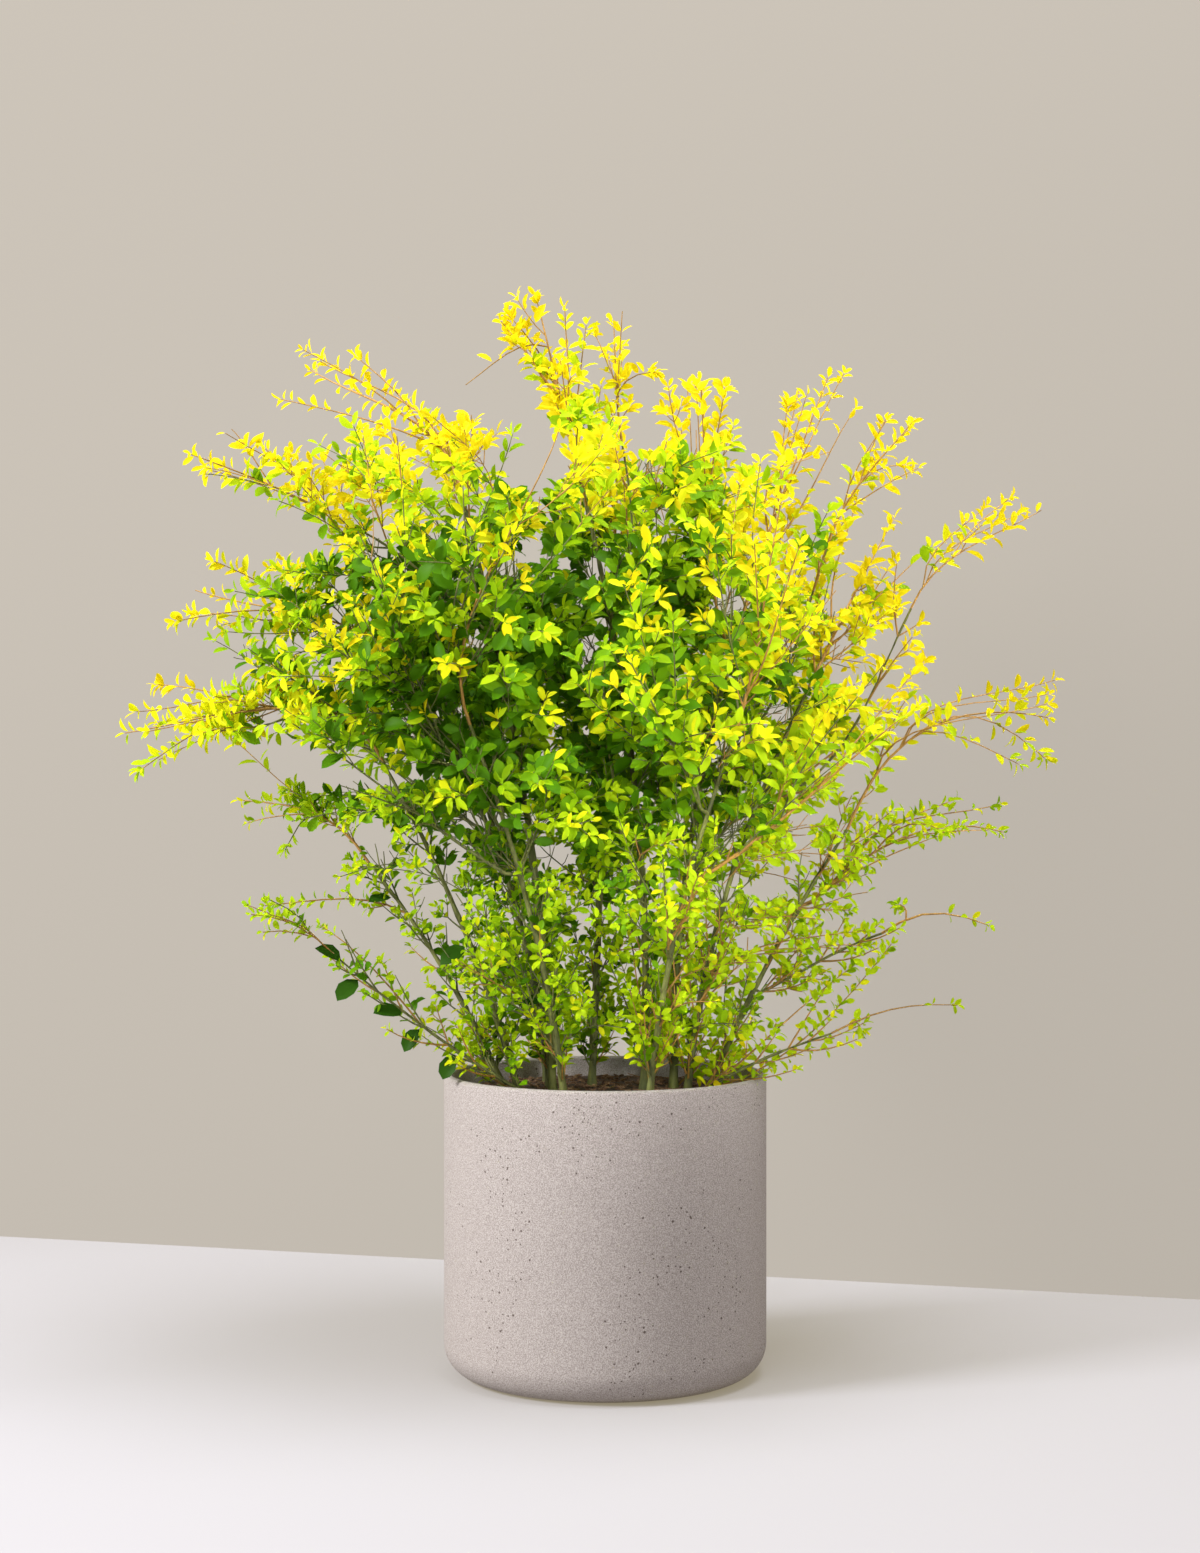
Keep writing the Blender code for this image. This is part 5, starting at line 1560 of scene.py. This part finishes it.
FLOOR_HALF = 7.0
WALL_LEFT = Vector((-7.0, 2.62, 0))
WALL_RIGHT = Vector((7.0, -1.32, 0))
WALL_HEIGHT = 6.0
KEY_PLACE = Vector((-3.0, -1.5, 2.2))
KEY_SIZE = 1.0
FILL_PLACE = Vector((1.3, -1.5, 1.4))
FILL_SIZE = 0.6
FILL_SPREAD = math.radians(32)
CROWN_GOAL = Vector((0.10, 0, 0.90))
LOW_PLACE = Vector((0.5, -2.6, 0.95))
LOW_SIZE = 0.3
LOW_SPREAD = math.radians(14)
STEMS_GOAL = Vector((0.05, 0, 0.60))
TOP_PLACE = Vector((0.4, -0.5, 3.5))
TOP_SIZE = 1.6
LIGHT_GOAL = Vector((0, 0, 0.62))
CAMERA_X = -0.0061
SENSOR = 36.0


def add_floor(scene, settings):
    """The pale floor."""
    h = FLOOR_HALF
    corners = [(-h, -h, 0), (h, -h, 0), (h, h, 0), (-h, h, 0)]
    plane_object(scene, "floor", corners, lit_material("floor", settings.floor, settings.floor_glow))


def add_wall(scene, settings):
    """The backdrop behind the plant, set a little askew to the camera."""
    up = Vector((0, 0, WALL_HEIGHT))
    corners = [WALL_LEFT, WALL_RIGHT, WALL_RIGHT + up, WALL_LEFT + up]
    material = lit_material("backdrop", settings.wall, settings.wall_glow)
    plane_object(scene, "backdrop", corners, material)


def add_world(scene, settings):
    """Even light from all round."""
    world = bpy.data.worlds.new("surroundings")
    world.use_nodes = True
    back = world.node_tree.nodes["Background"]
    back.inputs["Color"].default_value = (*settings.sky, 1)
    back.inputs["Strength"].default_value = settings.sky_strength
    scene.world = world


def add_light(scene, name, place, size, power, goal=LIGHT_GOAL, spread=math.pi):
    """A square soft light that looks at the plant."""
    data = bpy.data.lights.new(name, "AREA")
    data.size = size
    data.energy = power
    data.spread = spread
    made = bpy.data.objects.new(name, data)
    made.location = place
    made.visible_camera = False
    made.rotation_euler = (goal - place).to_track_quat("-Z", "Y").to_euler()
    scene.collection.objects.link(made)


def add_lights(scene, settings):
    """The key light from the upper left, one overhead, and two narrow ones that light the
    crown's shaded right side and the stems below it."""
    add_light(scene, "key", KEY_PLACE, KEY_SIZE, settings.key_power)
    add_light(scene, "top", TOP_PLACE, TOP_SIZE, settings.top_power)
    add_light(scene, "fill", FILL_PLACE, FILL_SIZE, settings.fill_power, CROWN_GOAL, FILL_SPREAD)
    add_light(scene, "low", LOW_PLACE, LOW_SIZE, settings.low_power, STEMS_GOAL, LOW_SPREAD)


def add_camera(scene, settings):
    """The camera, level, straight in front."""
    data = bpy.data.cameras.new("camera")
    data.lens = settings.lens
    data.sensor_width = SENSOR
    made = bpy.data.objects.new("camera", data)
    made.location = (CAMERA_X, -settings.camera_distance, settings.camera_height)
    made.rotation_euler = (math.pi / 2, 0, 0)
    scene.collection.objects.link(made)
    scene.camera = made


class PRIVET_PT_panel(bpy.types.Panel):
    """Lists the steps that dress the privet, with their settings"""

    bl_label = "Potted privet"
    bl_idname = "PRIVET_PT_panel"
    bl_space_type = "VIEW_3D"
    bl_region_type = "UI"
    bl_category = "Privet"

    def draw(self, context):
        for step, settings in STEPS:
            box = self.layout.box()
            box.operator(step.bl_idname)
            if not settings:
                continue
            values = getattr(context.scene, settings)
            for key in values.__class__.__annotations__:
                box.prop(values, key)


STEPS = (
    (PRIVET_OT_stage, "privet_stage"),
    (PRIVET_OT_planter, "privet_planter"),
    (PRIVET_OT_soil, "privet_soil"),
    (PRIVET_OT_limbs, "privet_bark"),
    (PRIVET_OT_foliage, "privet_foliage"),
)
GROUPS = {
    "privet_stage": StageSettings,
    "privet_planter": PlanterSettings,
    "privet_soil": SoilSettings,
    "privet_bark": BarkSettings,
    "privet_foliage": FoliageSettings,
}


def register():
    """Adds the settings, the operators and the panel."""
    for name, group in GROUPS.items():
        bpy.utils.register_class(group)
        setattr(bpy.types.Scene, name, PointerProperty(type=group))
    for step, _ in STEPS:
        bpy.utils.register_class(step)
    bpy.utils.register_class(PRIVET_PT_panel)


def unregister():
    """Takes them away again."""
    bpy.utils.unregister_class(PRIVET_PT_panel)
    for step, _ in reversed(STEPS):
        bpy.utils.unregister_class(step)
    for name, group in GROUPS.items():
        delattr(bpy.types.Scene, name)
        bpy.utils.unregister_class(group)


def main():
    """Dresses the plant, one step after the other."""
    register()
    bpy.ops.privet.stage()
    bpy.ops.privet.planter()
    bpy.ops.privet.soil()
    bpy.ops.privet.limbs()
    bpy.ops.privet.foliage()


if __name__ == "__main__":
    main()
